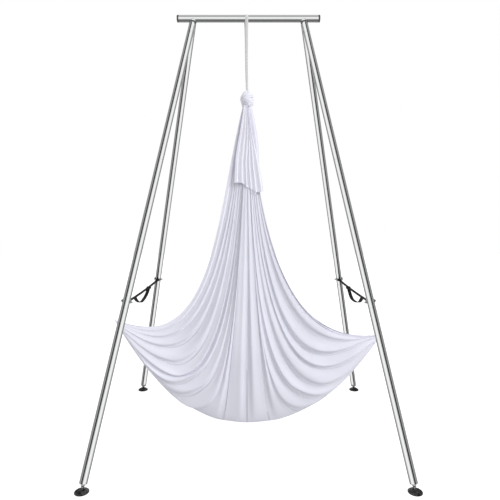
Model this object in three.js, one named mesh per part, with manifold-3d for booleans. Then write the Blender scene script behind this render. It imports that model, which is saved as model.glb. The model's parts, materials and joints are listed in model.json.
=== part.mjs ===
// Aerial rig: a four-leg frame of plug-together steel tube with a cloth hammock on its top bar.
// Millimetres, +Z up. X runs along the top bar, -Y is the front, the origin is on the floor.
import * as THREE from 'three';
import { mergeVertices } from 'three/addons/utils/BufferGeometryUtils.js';
import Module from 'manifold-3d';

const wasm = await Module();
wasm.setup();

// Clearances
const seat = 0.3;            // gap between pieces that rest on each other
const overrun = 5;           // how far a cutting tool runs past what it cuts

// Frame
const barAxisHeight = 2905;
const barDiameter = 50;
const barWall = 3;
const barLength = 1004;
const barCapThickness = 3;
const barCapPlugLength = 18;
const barCapBevel = 3;
const socketHalfSpacing = 388;   // where the legs' axes meet the bar's axis
const footHalfWidth = 913;
const footHalfDepth = 750;
const legDiameter = 45;
const legWall = 2;
const socketLength = 120;        // from the bar's axis down to the first seam
const sectionNames = ['upper', 'middle', 'lower'];
const spigotFit = 0.3;           // radial play of a spigot in its bore
const topSpigotLength = 34;
const spigotLength = 80;
const spigotChamfer = 2;
const swageLength = 10;

// Strap bolts and bails
const boltAboveSeam = 40;
const boltDiameter = 8;
const boltHoleDiameter = 8.8;
const boltHeadDiameter = 15;
const boltHeadHeight = 6;
const nutAcrossCorners = 15;
const nutHeight = 6.5;
const boltStub = 6;
const bailPlate = 2.2;
const bailEarRadius = 10;
const earTrimAngle = 0.1;        // radians left out at both ends of an ear's round parts
const bailReach = 31;            // bolt axis to crossbar axis
const bailBarDiameter = 6;

// Webbing straps
const webbingWidth = 25;
const webbingThickness = 2;
const webbingEyeRadius = 6.1;
const strapSag = 6;
const slackStart = -290;
const slackEnd = 128;
const slackDrop = 60;
const slackTail = 26;
const slackRoundness = 2.4;      // power of the curve of the hanging loop
const buckleLength = 16;
const buckleBar = 3;
const buckleSide = 3.5;

// Levelling feet
const ballHeight = 15;
const ballDiameter = 18;
const ballPlay = 0.3;
const neckDiameter = 9;
const studDiameter = 10;
const studBoreDiameter = 10.6;
const studLength = 74;
const bossTopDiameter = 25;
const bossBottomDiameter = 15;
const bossLength = 18.2;
const bossWaistShares = [0.84, 0.3];   // of the boss's top radius and of its length
const bossFullShare = 0.65;      // of its length, where it reaches its full width
const bossBottomDistance = 13;   // from the ball's centre
const plugFlange = 2.5;
const plugLength = 30;
const padDiameter = 80;
const padRimHeight = 5.5;
const padTopHeight = 21.6;
const padTopDiameter = 22;
const padCrownDiameter = 25;
const padShoulderDiameter = 56;
const padShoulderHeight = 14.5;
const padFootShare = 0.05;       // of the pad's radius, broken off its lower edge
const padMouthAngle = 59;        // degrees from the pad's upright axis

// Sling
const slingOffset = -10;         // along the bar, from its middle
const slingTopWidth = 26;
const slingBightWidth = 14;
const slingThickness = 2;
const slingSkew = 4;             // the rear strand lies this much to the left
const slingDrop = 519.2;         // from the bar's axis down to the bight
const bightRadius = 9;
const slingWrapAngle = 0.04;     // radians that it wraps the bar past half a turn, each side

// Carabiner
const carabinerHeight = 95;
const carabinerWidth = 52;
const stockDiameter = 10;
const gateDiameter = 8;
const gateTop = 14;              // above the carabiner's middle
const knuckleHeight = 17.2;      // pivot below the carabiner's middle
const earThickness = 1.8;
const gatePinDiameter = 3;
const sleeveDiameter = 13;
const sleeveLength = 20;
const sleeveBottom = -12;
const bightPlay = 1.15;          // room for the carabiner to sway

// Knot and its tail
const knotRise = 12.2;           // above the sling's bight
const knotHeight = 119;
const knotDiameter = 97;
const knotTopDiameter = 40;
const knotNeckDiameter = 66;
const knotMouthDiameter = 32;
const knotCavityDiameter = 62;
const knotFloor = 12;
const knotFloorStep = 2.5;
const knotFoldDepth = 2.2;
const knotFolds = 5;
const knotFoldTwist = 4;         // radians from the knot's foot to its top
const knotMouthSlope = 25;       // height over which the cavity narrows to its mouth
const knotFloorSlope = 12.5;
const clothPostDiameter = 24;
const tailDrop = 600;
const tailHalfTop = 30;
const tailRootRadius = 26.4;
const tailThickness = 3;
const tailStandoff = 58;
const tailFold = 5;
const tailFolds = 2.5;
const tailTuck = 5;              // how far it reaches up into the knot
const tailSwing = 3;             // it stands off in full after one part in this many of its drop

// Hammock cloth
const clothBottomHeight = 51;
const clothThickness = 2.4;
const leftReach = 948;
const rightReach = 950;
const leftTipHeight = 777;
const rightTipHeight = 686;
const neckHalfWidth = 31;
const neckHalfDepth = 13;
const pocketHalfDepth = 118;
const tipHalfDepth = 34;
const foldDepthNeck = 3;
const foldDepthPocket = 12;
const clothFolds = 6;
const bellyLowness = 2.4;        // powers that set how low and how full the pocket hangs
const bellyFullness = 0.85;
const foldEndPower = 12;         // how late the folds fade out above the bottom edge
const edgeFoldLoss = 0.6;        // share by which folds are shallower at the open edges
const backFoldShare = 0.7;
const edgeRoundness = 2.25;      // power of the curve from the bottom edge's middle up to its tips

// Lines that the cloth's folds follow, from its open edge to its middle: where each lies across the
// cloth and where it meets the bottom edge, then how far out and down its two inner points are, all
// as shares of the reach and of the drop
const leftFoldShares = [
  [1, 1, 0.2, 0.4, 0.25, 0.76],
  [0.84, 0.99, 0.18, 0.88, 0.63, 0.75],
  [0.7, 0.98, 0.18, 0.92, 0.52, 0.83],
  [0.55, 0.95, 0.11, 1.13, 0.65, 0.84],
  [0.4, 0.76, 0.05, 0.59, 0.16, 1.05],
  [0.27, 0.5, 0.06, 0.69, 0.15, 1.02],
  [0.13, 0.2, 0.03, 0.46, 0.12, 0.85],
  [0, 0, 0, 0.33, 0, 0.67],
];
const rightFoldShares = [
  [1, 1, 0.07, 0.47, 0.37, 0.76],
  [0.84, 0.99, 0.1, 0.75, 0.69, 0.75],
  [0.7, 0.98, 0.13, 0.99, 0.7, 0.71],
  [0.55, 0.95, 0.09, 1.23, 0.93, 0.68],
  [0.4, 0.76, 0.03, 0.51, 0.12, 1.04],
  [0.27, 0.5, 0.03, 0.51, 0.05, 0.99],
  [0.13, 0.2, 0.02, 0.39, 0.1, 0.85],
  [0, 0, 0, 0.33, 0, 0.67],
];

// Facets
const tubeSides = 16;
const wideSides = 20;            // bar and foot pads
const cutterSides = 32;
const nutSides = 6;
const ballSides = 14;
const ballRings = 8;
const smallSides = 12;
const holeSides = 10;

const steel = { color: 0xd4d6d9, roughness: 0.2, metalness: 1 };
const darkSteel = { color: 0x8b8d91, roughness: 0.3, metalness: 1 };
const blackRubber = { color: 0x1d1d1f, roughness: 0.7, metalness: 0 };
const blackPlastic = { color: 0x222224, roughness: 0.5, metalness: 0 };
const blackWebbing = { color: 0x18181a, roughness: 0.9, metalness: 0 };
const paleWebbing = { color: 0xcfcfcf, roughness: 0.85, metalness: 0 };
const lilacCloth = { color: 0xdcdcec, roughness: 0.8, metalness: 0 };

const barRadius = barDiameter / 2;
const legRadius = legDiameter / 2;
const boreRadius = legRadius - legWall;
const spigotRadius = boreRadius - spigotFit;
const legLength = Math.hypot(footHalfWidth - socketHalfSpacing, footHalfDepth, barAxisHeight - ballHeight);
const legEnd = legLength - bossBottomDistance - bossLength - seat;   // from the bar's axis
const sectionLength = (legEnd - socketLength) / sectionNames.length;
const boltDistance = legEnd - sectionLength - boltAboveSeam;
const bightHeight = barAxisHeight - slingDrop;
const knotTopHeight = bightHeight + knotRise;
const knotBottomHeight = knotTopHeight - knotHeight;
const rig = new THREE.Group();

// Adds a named mesh to a parent group
function add(parent, name, geometry, look) {
  const mesh = new THREE.Mesh(geometry, new THREE.MeshStandardMaterial(look));
  mesh.name = name;
  parent.add(mesh);
  return mesh;
}

// Positions only, with shared vertices merged and empty triangles dropped
function welded(geometry) {
  const bare = geometry.clone();
  bare.deleteAttribute('normal');
  bare.deleteAttribute('uv');
  const merged = mergeVertices(bare);
  const index = merged.index.array;
  const kept = [];
  for (let i = 0; i < index.length; i += 3) {
    const [a, b, c] = [index[i], index[i + 1], index[i + 2]];
    if (a !== b && b !== c && c !== a) kept.push(a, b, c);
  }
  merged.setIndex(kept);
  return merged;
}

function solidOf(geometry) {
  const merged = welded(geometry);
  const vertProperties = new Float32Array(merged.attributes.position.array);
  const triVerts = new Uint32Array(merged.index.array);
  return new wasm.Manifold(new wasm.Mesh({ numProp: 3, vertProperties, triVerts }));
}

function geometryOf(solid) {
  const mesh = solid.getMesh();
  const geometry = new THREE.BufferGeometry();
  geometry.setAttribute('position', new THREE.BufferAttribute(mesh.vertProperties, 3));
  geometry.setIndex(new THREE.BufferAttribute(mesh.triVerts, 1));
  return geometry;
}

function join(first, ...others) {
  return geometryOf(others.reduce((sum, next) => sum.add(solidOf(next)), solidOf(first)));
}

function cut(body, ...tools) {
  return geometryOf(tools.reduce((rest, tool) => rest.subtract(solidOf(tool)), solidOf(body)));
}

// Turns a profile of [radius, height] points round the Z axis
function revolve(profile, sides) {
  const points = profile.map(([radius, height]) => new THREE.Vector2(radius, height));
  return new THREE.LatheGeometry(points, sides).rotateX(Math.PI / 2);
}

function tube(outer, inner, low, high, sides = tubeSides) {
  return revolve([[outer, low], [outer, high], [inner, high], [inner, low], [outer, low]], sides);
}

function rod(radius, low, high, sides = smallSides) {
  return revolve([[0, low], [radius, low], [radius, high], [0, high]], sides);
}

const toward = (axis) => new THREE.Matrix4().makeRotationFromQuaternion(
  new THREE.Quaternion().setFromUnitVectors(new THREE.Vector3(0, 0, 1), axis));
const alongX = toward(new THREE.Vector3(1, 0, 0));
const alongY = toward(new THREE.Vector3(0, 1, 0));
const moved = (geometry, x, y, z) => geometry.translate(x, y, z);

// A leg's own frame: origin on the bar's axis, Z up the leg, X across it, Y front to back
function legFrame(side, end) {
  const top = new THREE.Vector3(side * socketHalfSpacing, 0, barAxisHeight);
  const ball = new THREE.Vector3(side * footHalfWidth, end * footHalfDepth, ballHeight);
  const up = top.clone().sub(ball).normalize();
  const across = new THREE.Vector3(1, 0, 0).addScaledVector(up, -up.x).normalize();
  const depth = up.clone().cross(across);
  return new THREE.Matrix4().makeBasis(across, depth, up).setPosition(top);
}

// Top bar with a closed cap at each end
function makeBar() {
  const group = new THREE.Group();
  group.position.z = barAxisHeight;
  const bore = barRadius - barWall;
  const half = barLength / 2;
  add(group, 'bar_tube', tube(barRadius, bore, -half, half, wideSides).applyMatrix4(alongX), steel);
  for (const [name, side] of [['left', -1], ['right', 1]]) {
    const face = half + seat;
    const dome = barCapThickness / 3;
    const cap = revolve([
      [0, face - barCapPlugLength], [bore - seat, face - barCapPlugLength], [bore - seat, face],
      [barRadius, face], [barRadius, face + barCapThickness - dome],
      [barRadius - dome, face + barCapThickness - dome / 2], [bore - barCapBevel, face + barCapThickness],
      [0, face + barCapThickness],
    ], wideSides).applyMatrix4(alongX);
    if (side < 0) cap.rotateZ(Math.PI);
    add(group, `bar_cap_${name}`, cap, darkSteel);
  }
  rig.add(group);
}

// V bracket: two short tubes, fish-mouthed to the bar and to each other
function makeSocket(name, side) {
  const shells = [];
  const bores = [];
  for (const end of [-1, 1]) {
    const frame = legFrame(side, end);
    shells.push(rod(legRadius, -socketLength, 0, tubeSides).applyMatrix4(frame));
    bores.push(rod(boreRadius, -socketLength - overrun, 0, tubeSides).applyMatrix4(frame));
  }
  const bar = rod(barRadius + seat, -socketHalfSpacing, socketHalfSpacing, cutterSides)
    .applyMatrix4(alongX).translate(side * socketHalfSpacing, 0, barAxisHeight);
  add(rig, `socket_${name}`, cut(join(...shells), ...bores, bar), steel);
}

// One leg tube: full diameter below, a swaged spigot above that goes up into the next tube
function legTube(top, bottom, spigot) {
  const wall = spigotRadius - legWall;
  return revolve([
    [legRadius, bottom], [legRadius, top], [spigotRadius, top],
    [spigotRadius, top + spigot - spigotChamfer], [spigotRadius - spigotChamfer / 2, top + spigot],
    [wall, top + spigot], [wall, top], [boreRadius, top - swageLength], [boreRadius, bottom],
    [legRadius, bottom],
  ], tubeSides);
}

function boltHole() {
  return rod(boltHoleDiameter / 2, -legDiameter, legDiameter, holeSides)
    .applyMatrix4(alongX).translate(0, 0, -boltDistance);
}

function makeLegTubes(group, name) {
  sectionNames.forEach((section, index) => {
    const top = -(socketLength + index * sectionLength) - seat;
    const last = index === sectionNames.length - 1;
    const bottom = -(socketLength + (index + 1) * sectionLength) + (last ? plugFlange + seat : 0);
    let geometry = legTube(top, bottom, index === 0 ? topSpigotLength : spigotLength);
    if (index > 0) geometry = cut(geometry, boltHole());
    add(group, `leg_${name}_${section}`, geometry, steel);
  });
}

// Through bolt with a domed head outside and a hex nut inside the frame
function makeBolt(group, name, side) {
  const grip = legRadius + seat * 2 + bailPlate;
  const head = revolve([
    [0, -grip - overrun], [boltDiameter / 2, -grip - overrun], [boltDiameter / 2, grip + seat],
    [boltHeadDiameter / 2, grip + seat], [boltHeadDiameter / 2, grip + seat + boltHeadHeight / 2],
    [boltHeadDiameter / 3, grip + seat + boltHeadHeight], [0, grip + seat + boltHeadHeight],
  ], smallSides);
  const nut = rod(nutAcrossCorners / 2, -grip - seat - nutHeight, -grip - seat, nutSides);
  const stub = rod(boltDiameter / 2, -grip - nutHeight - boltStub, -grip, smallSides);
  const bolt = join(head, stub, nut).applyMatrix4(alongX);
  if (side < 0) bolt.rotateZ(Math.PI);
  add(group, `strap_bolt_${name}`, bolt, darkSteel).position.z = -boltDistance;
}

// Bail: an ear on each side of the leg and a crossbar behind it for the webbing
function makeBail(group, name, end) {
  const ears = [];
  const reach = -end * bailReach;
  const outline = new THREE.Shape();
  const turn = reach > 0 ? 0 : Math.PI;
  const quarter = Math.PI / 2 - earTrimAngle;
  outline.absarc(0, 0, bailEarRadius, turn + Math.PI - quarter, turn + Math.PI + quarter, false);
  const tipRadius = bailBarDiameter;
  outline.absarc(reach, 0, tipRadius, turn - quarter, turn + quarter, false);
  outline.closePath();
  const hole = new THREE.Path().absarc(0, 0, boltHoleDiameter / 2, 0, Math.PI * 2, true);
  outline.holes.push(hole);
  const inner = legRadius + seat;
  const plate = { depth: bailPlate, bevelEnabled: false, curveSegments: 4 };
  for (const side of [-1, 1]) {
    const ear = new THREE.ExtrudeGeometry(outline, plate);
    ear.rotateY(Math.PI / 2).rotateX(Math.PI / 2);
    ears.push(ear.translate(side > 0 ? inner : -inner - bailPlate, 0, 0));
  }
  const barHalf = inner + bailPlate / 2;
  const crossbar = rod(bailBarDiameter / 2, -barHalf, barHalf).applyMatrix4(alongX).translate(0, reach, 0);
  add(group, `strap_bail_${name}`, join(ears[0], ears[1], crossbar), darkSteel).position.z = -boltDistance;
}

// Levelling foot: plug in the leg, stud with its boss and neck, ball, and the pad round the ball
function makeFoot(group, name, side, end) {
  const studBore = studBoreDiameter / 2;
  const flangeTop = plugFlange - legEnd;
  const plugTop = plugLength - legEnd;
  add(group, `foot_plug_${name}`, revolve([
    [legRadius, -legEnd], [legRadius, flangeTop], [spigotRadius, flangeTop],
    [spigotRadius, plugTop - spigotChamfer], [spigotRadius - spigotChamfer, plugTop],
    [studBore, plugTop], [studBore, -legEnd], [legRadius, -legEnd],
  ], tubeSides), darkSteel);

  const ballCentre = -legLength;
  const neckEnd = ballCentre + ballDiameter / 2 + ballPlay;
  const bossBottom = ballCentre + bossBottomDistance;
  const bossTop = bossBottom + bossLength;
  const bossRadius = bossTopDiameter / 2;
  const [waistWidth, waistHeight] = bossWaistShares;
  add(group, `foot_stud_${name}`, revolve([
    [0, neckEnd], [neckDiameter / 2, neckEnd], [neckDiameter / 2, bossBottom],
    [bossBottomDiameter / 2, bossBottom], [bossRadius * waistWidth, bossBottom + bossLength * waistHeight],
    [bossRadius, bossBottom + bossLength * bossFullShare], [bossRadius, bossTop],
    [studDiameter / 2, bossTop], [studDiameter / 2, bossTop + studLength - spigotChamfer],
    [studDiameter / 2 - spigotChamfer / 2, bossTop + studLength], [0, bossTop + studLength],
  ], smallSides), steel);

  const ball = new THREE.SphereGeometry(ballDiameter / 2, ballSides, ballRings).rotateX(Math.PI / 2);
  add(rig, `foot_ball_${name}`, ball, darkSteel)
    .position.set(side * footHalfWidth, end * footHalfDepth, ballHeight);
  makePad(name, side, end);
}

function makePad(name, side, end) {
  const cup = ballDiameter / 2 + ballPlay;
  const radius = padDiameter / 2;
  const topRadius = padTopDiameter / 2;
  const mouth = THREE.MathUtils.degToRad(padMouthAngle);
  const profile = [
    [0, 0], [radius * (1 - padFootShare), 0], [radius, radius * padFootShare], [radius, padRimHeight],
    [padShoulderDiameter / 2, padShoulderHeight], [padCrownDiameter / 2, padTopHeight - spigotChamfer / 2],
    [topRadius, padTopHeight], [cup * Math.sin(mouth), ballHeight + cup * Math.cos(mouth)],
  ];
  const steps = 5;
  for (let step = 1; step <= steps; step++) {
    const angle = mouth + (Math.PI - mouth) * step / steps;
    profile.push([Math.max(cup * Math.sin(angle), 0), ballHeight + cup * Math.cos(angle)]);
  }
  profile[profile.length - 1][0] = 0;
  add(rig, `foot_pad_${name}`, revolve(profile, wideSides), blackRubber)
    .position.set(side * footHalfWidth, end * footHalfDepth, 0);
}

// A flat band along a path of [y, z] points in the YZ plane, its width along X
function band(points, width, thickness) {
  const left = [];
  const right = [];
  points.forEach(([y, z], index) => {
    const before = points[Math.max(index - 1, 0)];
    const after = points[Math.min(index + 1, points.length - 1)];
    const run = Math.hypot(after[0] - before[0], after[1] - before[1]);
    const normal = [-(after[1] - before[1]) / run, (after[0] - before[0]) / run];
    left.push(new THREE.Vector2(y + normal[0] * thickness / 2, z + normal[1] * thickness / 2));
    right.push(new THREE.Vector2(y - normal[0] * thickness / 2, z - normal[1] * thickness / 2));
  });
  const outline = new THREE.Shape([...right, ...left.reverse()]);
  return acrossX(new THREE.ExtrudeGeometry(outline, { depth: width, bevelEnabled: false }), width);
}

// Stands an extrusion drawn in (y, z) up in the YZ plane, centred on X
function acrossX(geometry, width) {
  const basis = new THREE.Matrix4().makeBasis(
    new THREE.Vector3(0, 1, 0), new THREE.Vector3(0, 0, 1), new THREE.Vector3(1, 0, 0));
  return geometry.applyMatrix4(basis).translate(-width / 2, 0, 0);
}

// Where a bail's crossbar is: [x, y, z] of its middle
function bailCentre(side, end) {
  return new THREE.Vector3(0, -end * bailReach, -boltDistance).applyMatrix4(legFrame(side, end));
}

// Tie strap: taut along Y between the bails, with its spare length in a hanging loop
function makeTieStrap(name, side) {
  const rear = bailCentre(side, 1);
  const eyeRadius = webbingEyeRadius + webbingThickness;
  const reach = rear.y - eyeRadius + webbingThickness / 2;
  const level = rear.z;
  const sagAt = (y) => level - strapSag * (1 - (y / reach) ** 2);
  const taut = [];
  const tautSteps = 12;
  for (let step = 0; step <= tautSteps; step++) {
    const y = -reach + 2 * reach * step / tautSteps;
    taut.push([y, sagAt(y)]);
  }
  const layer = webbingThickness + buckleBar + 2 * seat;
  const slackMiddle = (slackStart + slackEnd) / 2;
  const slackHalf = (slackEnd - slackStart) / 2;
  const slack = [];
  const slackSteps = 14;
  for (let step = 0; step <= slackSteps; step++) {
    const share = -1 + 2 * step / slackSteps;
    const fall = slackDrop * (1 - Math.abs(share) ** slackRoundness);
    const rise = layer * step / slackSteps;
    const y = slackMiddle + slackHalf * share;
    slack.push([y, sagAt(y) - rise - fall]);
  }
  const tailStart = slack[slack.length - 1];
  slack.push([slackEnd + slackTail / 2, tailStart[1]], [slackEnd + slackTail, tailStart[1]]);
  const pieces = [band(taut, webbingWidth, webbingThickness), band(slack, webbingWidth, webbingThickness)];
  for (const end of [-1, 1]) {
    const eye = tube(eyeRadius, webbingEyeRadius, -webbingWidth / 2, webbingWidth / 2, tubeSides);
    pieces.push(eye.applyMatrix4(alongX).translate(0, end * rear.y, level));
  }
  const strap = join(...pieces).translate(rear.x, 0, 0);
  add(rig, `tie_strap_${name}`, strap, blackWebbing);
  makeBuckle(name, rear.x, slackEnd + slackTail / 2, sagAt(slackEnd), layer);
}

// Ladder buckle: a frame round both layers of webbing with a bar between them
function makeBuckle(name, x, y, topLayer, layer) {
  const innerWidth = webbingWidth + 2 * seat;
  const middle = topLayer - layer / 2;
  const innerHeight = layer + webbingThickness + 4 * seat;
  const outerWidth = innerWidth + 2 * buckleSide;
  const frame = new THREE.BoxGeometry(outerWidth, buckleLength, innerHeight + 2 * buckleSide);
  const opening = new THREE.BoxGeometry(innerWidth, buckleLength + overrun, innerHeight);
  const barHalf = innerWidth / 2 + seat;
  const bar = rod(buckleBar / 2, -barHalf, barHalf, holeSides).applyMatrix4(alongX);
  const buckle = join(cut(frame, opening), bar);
  add(rig, `buckle_${name}`, buckle, blackPlastic).position.set(x, y, middle);
}

// Closed band of webbing: over the bar, down both sides and under the carabiner
function makeSling() {
  const over = barRadius + seat + slingThickness / 2;
  const under = bightRadius + slingThickness / 2;
  const path = [];
  const topSteps = 16;
  for (let step = 0; step <= topSteps; step++) {
    const angle = -slingWrapAngle + (Math.PI + 2 * slingWrapAngle) * step / topSteps;
    path.push([Math.cos(angle), Math.sin(angle), over, barAxisHeight]);
  }
  const bottomSteps = 12;
  for (let step = 0; step <= bottomSteps; step++) {
    const angle = Math.PI + Math.PI * step / bottomSteps;
    path.push([Math.cos(angle), Math.sin(angle), under, bightHeight]);
  }
  const rings = path.map(([outY, outZ, radius, height]) => {
    const y = outY * radius;
    const z = height + outZ * radius;
    const share = (z - bightHeight) / (barAxisHeight - bightHeight);
    const spread = Math.min(Math.max(share, 0), 1);
    const half = (slingBightWidth + (slingTopWidth - slingBightWidth) * spread) / 2;
    const x = slingOffset - slingSkew * spread * y / over;
    const corners = [];
    for (const [acrossShare, outShare] of [[-1, -1], [1, -1], [1, 1], [-1, 1]]) {
      const out = outShare * slingThickness / 2;
      corners.push([x + acrossShare * half, y + outY * out, z + outZ * out]);
    }
    return corners;
  });
  add(rig, 'sling', ringedSolid(rings, true), paleWebbing);
}

// Joins rings of equal point count into a skin; closed means that the last ring meets the first
function ringedSolid(rings, closed) {
  const positions = rings.flat(2);
  const count = rings[0].length;
  const index = [];
  const spans = closed ? rings.length : rings.length - 1;
  for (let ring = 0; ring < spans; ring++) {
    const next = (ring + 1) % rings.length;
    for (let point = 0; point < count; point++) {
      const after = (point + 1) % count;
      const [a, b] = [ring * count + point, ring * count + after];
      const [c, d] = [next * count + after, next * count + point];
      index.push(a, b, c, a, c, d);
    }
  }
  const geometry = new THREE.BufferGeometry();
  geometry.setAttribute('position', new THREE.Float32BufferAttribute(positions, 3));
  geometry.setIndex(index);
  return geometry;
}

// Locking carabiner in the XZ plane, with its gate on the +X side
const carabinerBend = (carabinerWidth - stockDiameter) / 2;
const carabinerStraight = (carabinerHeight - stockDiameter) / 2 - carabinerBend;
const bightEdge = slingBightWidth / 2;
const bendDrop = carabinerBend - Math.sqrt(carabinerBend ** 2 - bightEdge ** 2);
const edgeThickness = (stockDiameter / 2) * carabinerBend / (carabinerBend - bendDrop);
const stockHeight = bightHeight - bightRadius + bightPlay + bendDrop + edgeThickness;
const carabinerMiddle = stockHeight - carabinerStraight - carabinerBend;

function makeCarabiner() {
  const group = new THREE.Group();
  group.position.set(slingOffset, 0, carabinerMiddle);
  const stock = stockDiameter / 2;
  const gateRadius = gateDiameter / 2;
  const bend = carabinerBend;
  const straight = carabinerStraight;
  const rings = [];
  const sides = 10;
  const addRing = (x, z, angle) => {
    const ring = [];
    for (let point = 0; point < sides; point++) {
      const turn = Math.PI * 2 * point / sides;
      const out = Math.cos(turn) * stock;
      ring.push([x + Math.cos(angle) * out, Math.sin(turn) * stock, z + Math.sin(angle) * out]);
    }
    rings.push(ring);
  };
  const bendSteps = 10;
  for (let step = 0; step <= bendSteps; step++) {
    const angle = Math.PI * step / bendSteps;
    addRing(bend * Math.cos(angle), straight + bend * Math.sin(angle), angle);
  }
  for (let step = 0; step <= bendSteps; step++) {
    const angle = Math.PI + Math.PI * step / bendSteps;
    addRing(bend * Math.cos(angle), -straight + bend * Math.sin(angle), angle);
  }
  const sweep = cappedSolid(rings);
  const nose = moved(rod(gateRadius, gateTop + seat, straight + stock / 2), bend, 0, 0);
  const earReach = gateRadius + seat;
  const earLength = straight - knuckleHeight + 2 * gateRadius;
  const ears = [-1, 1].map((side) => {
    const plate = new THREE.BoxGeometry(2 * gateRadius, earThickness, earLength);
    return moved(plate, bend, side * (earReach + earThickness / 2), -(straight + knuckleHeight) / 2);
  });
  const pin = rod(gatePinDiameter / 2, -earReach - earThickness / 2, earReach + earThickness / 2, holeSides)
    .applyMatrix4(alongY).translate(bend, 0, -knuckleHeight);
  add(group, 'carabiner_body', join(sweep, nose, ...ears, pin), steel);

  const gateLow = -knuckleHeight - gateRadius;
  const arc = [];
  const arcSteps = 4;
  for (let step = 0; step <= arcSteps; step++) {
    const angle = -Math.PI / 2 + Math.PI / 2 * step / arcSteps;
    arc.push([Math.max(gateRadius * Math.cos(angle), 0), -knuckleHeight + gateRadius * Math.sin(angle)]);
  }
  arc[0] = [0, gateLow];
  const bar = revolve([...arc, [gateRadius, gateTop], [0, gateTop]], smallSides);
  const pinHole = rod(gatePinDiameter / 2 + seat, -stockDiameter, stockDiameter, holeSides)
    .applyMatrix4(alongY).translate(0, 0, -knuckleHeight);
  add(group, 'carabiner_gate', cut(bar, pinHole).translate(bend, 0, 0), steel);
  add(group, 'carabiner_sleeve', tube(sleeveDiameter / 2, gateRadius + seat, sleeveBottom,
    sleeveBottom + sleeveLength, smallSides).translate(bend, 0, 0), darkSteel);
  rig.add(group);
}

// Closes the two open ends of a run of rings with fans
function cappedSolid(rings) {
  const skin = ringedSolid(rings, false);
  const index = Array.from(skin.index.array);
  const count = rings[0].length;
  const last = (rings.length - 1) * count;
  for (let point = 1; point < count - 1; point++) {
    index.push(0, point + 1, point);
    index.push(last, last + point, last + point + 1);
  }
  skin.setIndex(index);
  return skin;
}

// Knot: folded cloth round the carabiner, open at the top for the sling, with the tail in front
function makeKnot() {
  const half = knotDiameter / 2;
  const heightShares = [0, 0.05, 0.18, 0.32, 0.48, 0.62, 0.76, 0.9, 1];
  const widthShares = [knotNeckDiameter / knotDiameter, 0.74, 0.93, 1, 0.99, 0.94, 0.83, 0.64,
    knotTopDiameter / knotDiameter];
  const sides = 30;
  const rings = heightShares.map((share, level) => {
    const ring = [];
    for (let point = 0; point < sides; point++) {
      const angle = Math.PI * 2 * point / sides;
      const fade = Math.sin(Math.PI * share);
      const fold = knotFoldDepth * fade * Math.cos(knotFolds * angle + knotFoldTwist * share);
      const radius = half * widthShares[level] - knotFoldDepth + fold;
      const height = knotBottomHeight + knotHeight * share;
      ring.push([radius * Math.cos(angle), radius * Math.sin(angle), height]);
    }
    return ring;
  });
  const bundle = cappedSolid(rings);
  const mouth = knotMouthDiameter / 2;
  const cavity = knotCavityDiameter / 2;
  const narrow = knotTopHeight - knotFoldDepth;
  const floor = knotBottomHeight + knotFloor;
  const hollow = revolve([
    [0, floor], [mouth, floor + knotFloorStep], [cavity, floor + knotFloorStep + knotFloorSlope],
    [cavity, narrow - knotMouthSlope], [mouth, narrow], [mouth, knotTopHeight + overrun],
    [0, knotTopHeight + overrun],
  ], tubeSides);
  const basketTop = carabinerMiddle - carabinerStraight - carabinerBend + stockDiameter / 2;
  const postRadius = clothPostDiameter / 2;
  const post = rod(postRadius, -cavity - knotFoldDepth, cavity + knotFoldDepth, smallSides)
    .applyMatrix4(alongY).translate(0, 0, basketTop + seat + postRadius / Math.cos(Math.PI / smallSides));
  const knot = join(cut(bundle, hollow), post, makeTail()).translate(slingOffset, 0, 0);
  add(rig, 'knot', knot, lilacCloth);
}

// Tail: the folded end of the cloth, hanging in front of the pocket with a slanted hem
function makeTail() {
  const columns = 12;
  const rows = 7;
  const leftShares = [-1, -1.12, -1.32, -1.6, -2.0, -2.45, -3.0];
  const rightShares = [1, 1.25, 1.75, 2.4, 3.0, 3.5, 3.85];
  const hemShares = [0.885, 0.895, 0.9, 0.92, 0.94, 0.955, 0.965, 0.985, 1.0, 0.98, 1.0, 0.97, 0.985];
  const top = knotBottomHeight + tailTuck;
  const rings = [];
  for (let column = 0; column <= columns; column++) {
    const across = column / columns;
    const frontSide = [];
    const backSide = [];
    for (let row = 0; row < rows; row++) {
      const down = row / (rows - 1);
      const x = tailHalfTop * (leftShares[row] + (rightShares[row] - leftShares[row]) * across);
      const z = top - tailDrop * hemShares[column] * down;
      const fold = tailFold * (1 + 2 * down) / 3 * Math.sin(2 * Math.PI * tailFolds * across);
      const standoff = tailRootRadius + (tailStandoff - tailRootRadius) * Math.min(down * tailSwing, 1);
      const y = -standoff - fold;
      frontSide.push([x, y - tailThickness / 2, z]);
      backSide.push([x, y + tailThickness / 2, z]);
    }
    rings.push([...frontSide, ...backSide.reverse()]);
  }
  return cappedSolid(rings);
}

// One fold line as [x, z] points, evenly spaced from the neck to the bottom edge
function foldLine([width, endShare, out1, down1, out2, down2], side, steps) {
  const reach = (side < 0 ? leftReach : rightReach) - side * slingOffset;
  const tipHeight = side < 0 ? leftTipHeight : rightTipHeight;
  const top = knotBottomHeight - seat;
  const drop = top - clothBottomHeight;
  const edgeHeight = clothBottomHeight + (tipHeight - clothBottomHeight) * endShare ** edgeRoundness;
  const line = new THREE.CubicBezierCurve(
    new THREE.Vector2(neckHalfWidth * width, top), new THREE.Vector2(reach * out1, top - drop * down1),
    new THREE.Vector2(reach * out2, top - drop * down2), new THREE.Vector2(reach * endShare, edgeHeight));
  const points = [];
  for (let step = 0; step <= steps; step++) {
    const fall = Math.sin(Math.PI / 2 * step / steps);
    const point = line.getPointAt(fall);
    points.push([slingOffset + side * point.x, point.y]);
  }
  return points;
}

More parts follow.
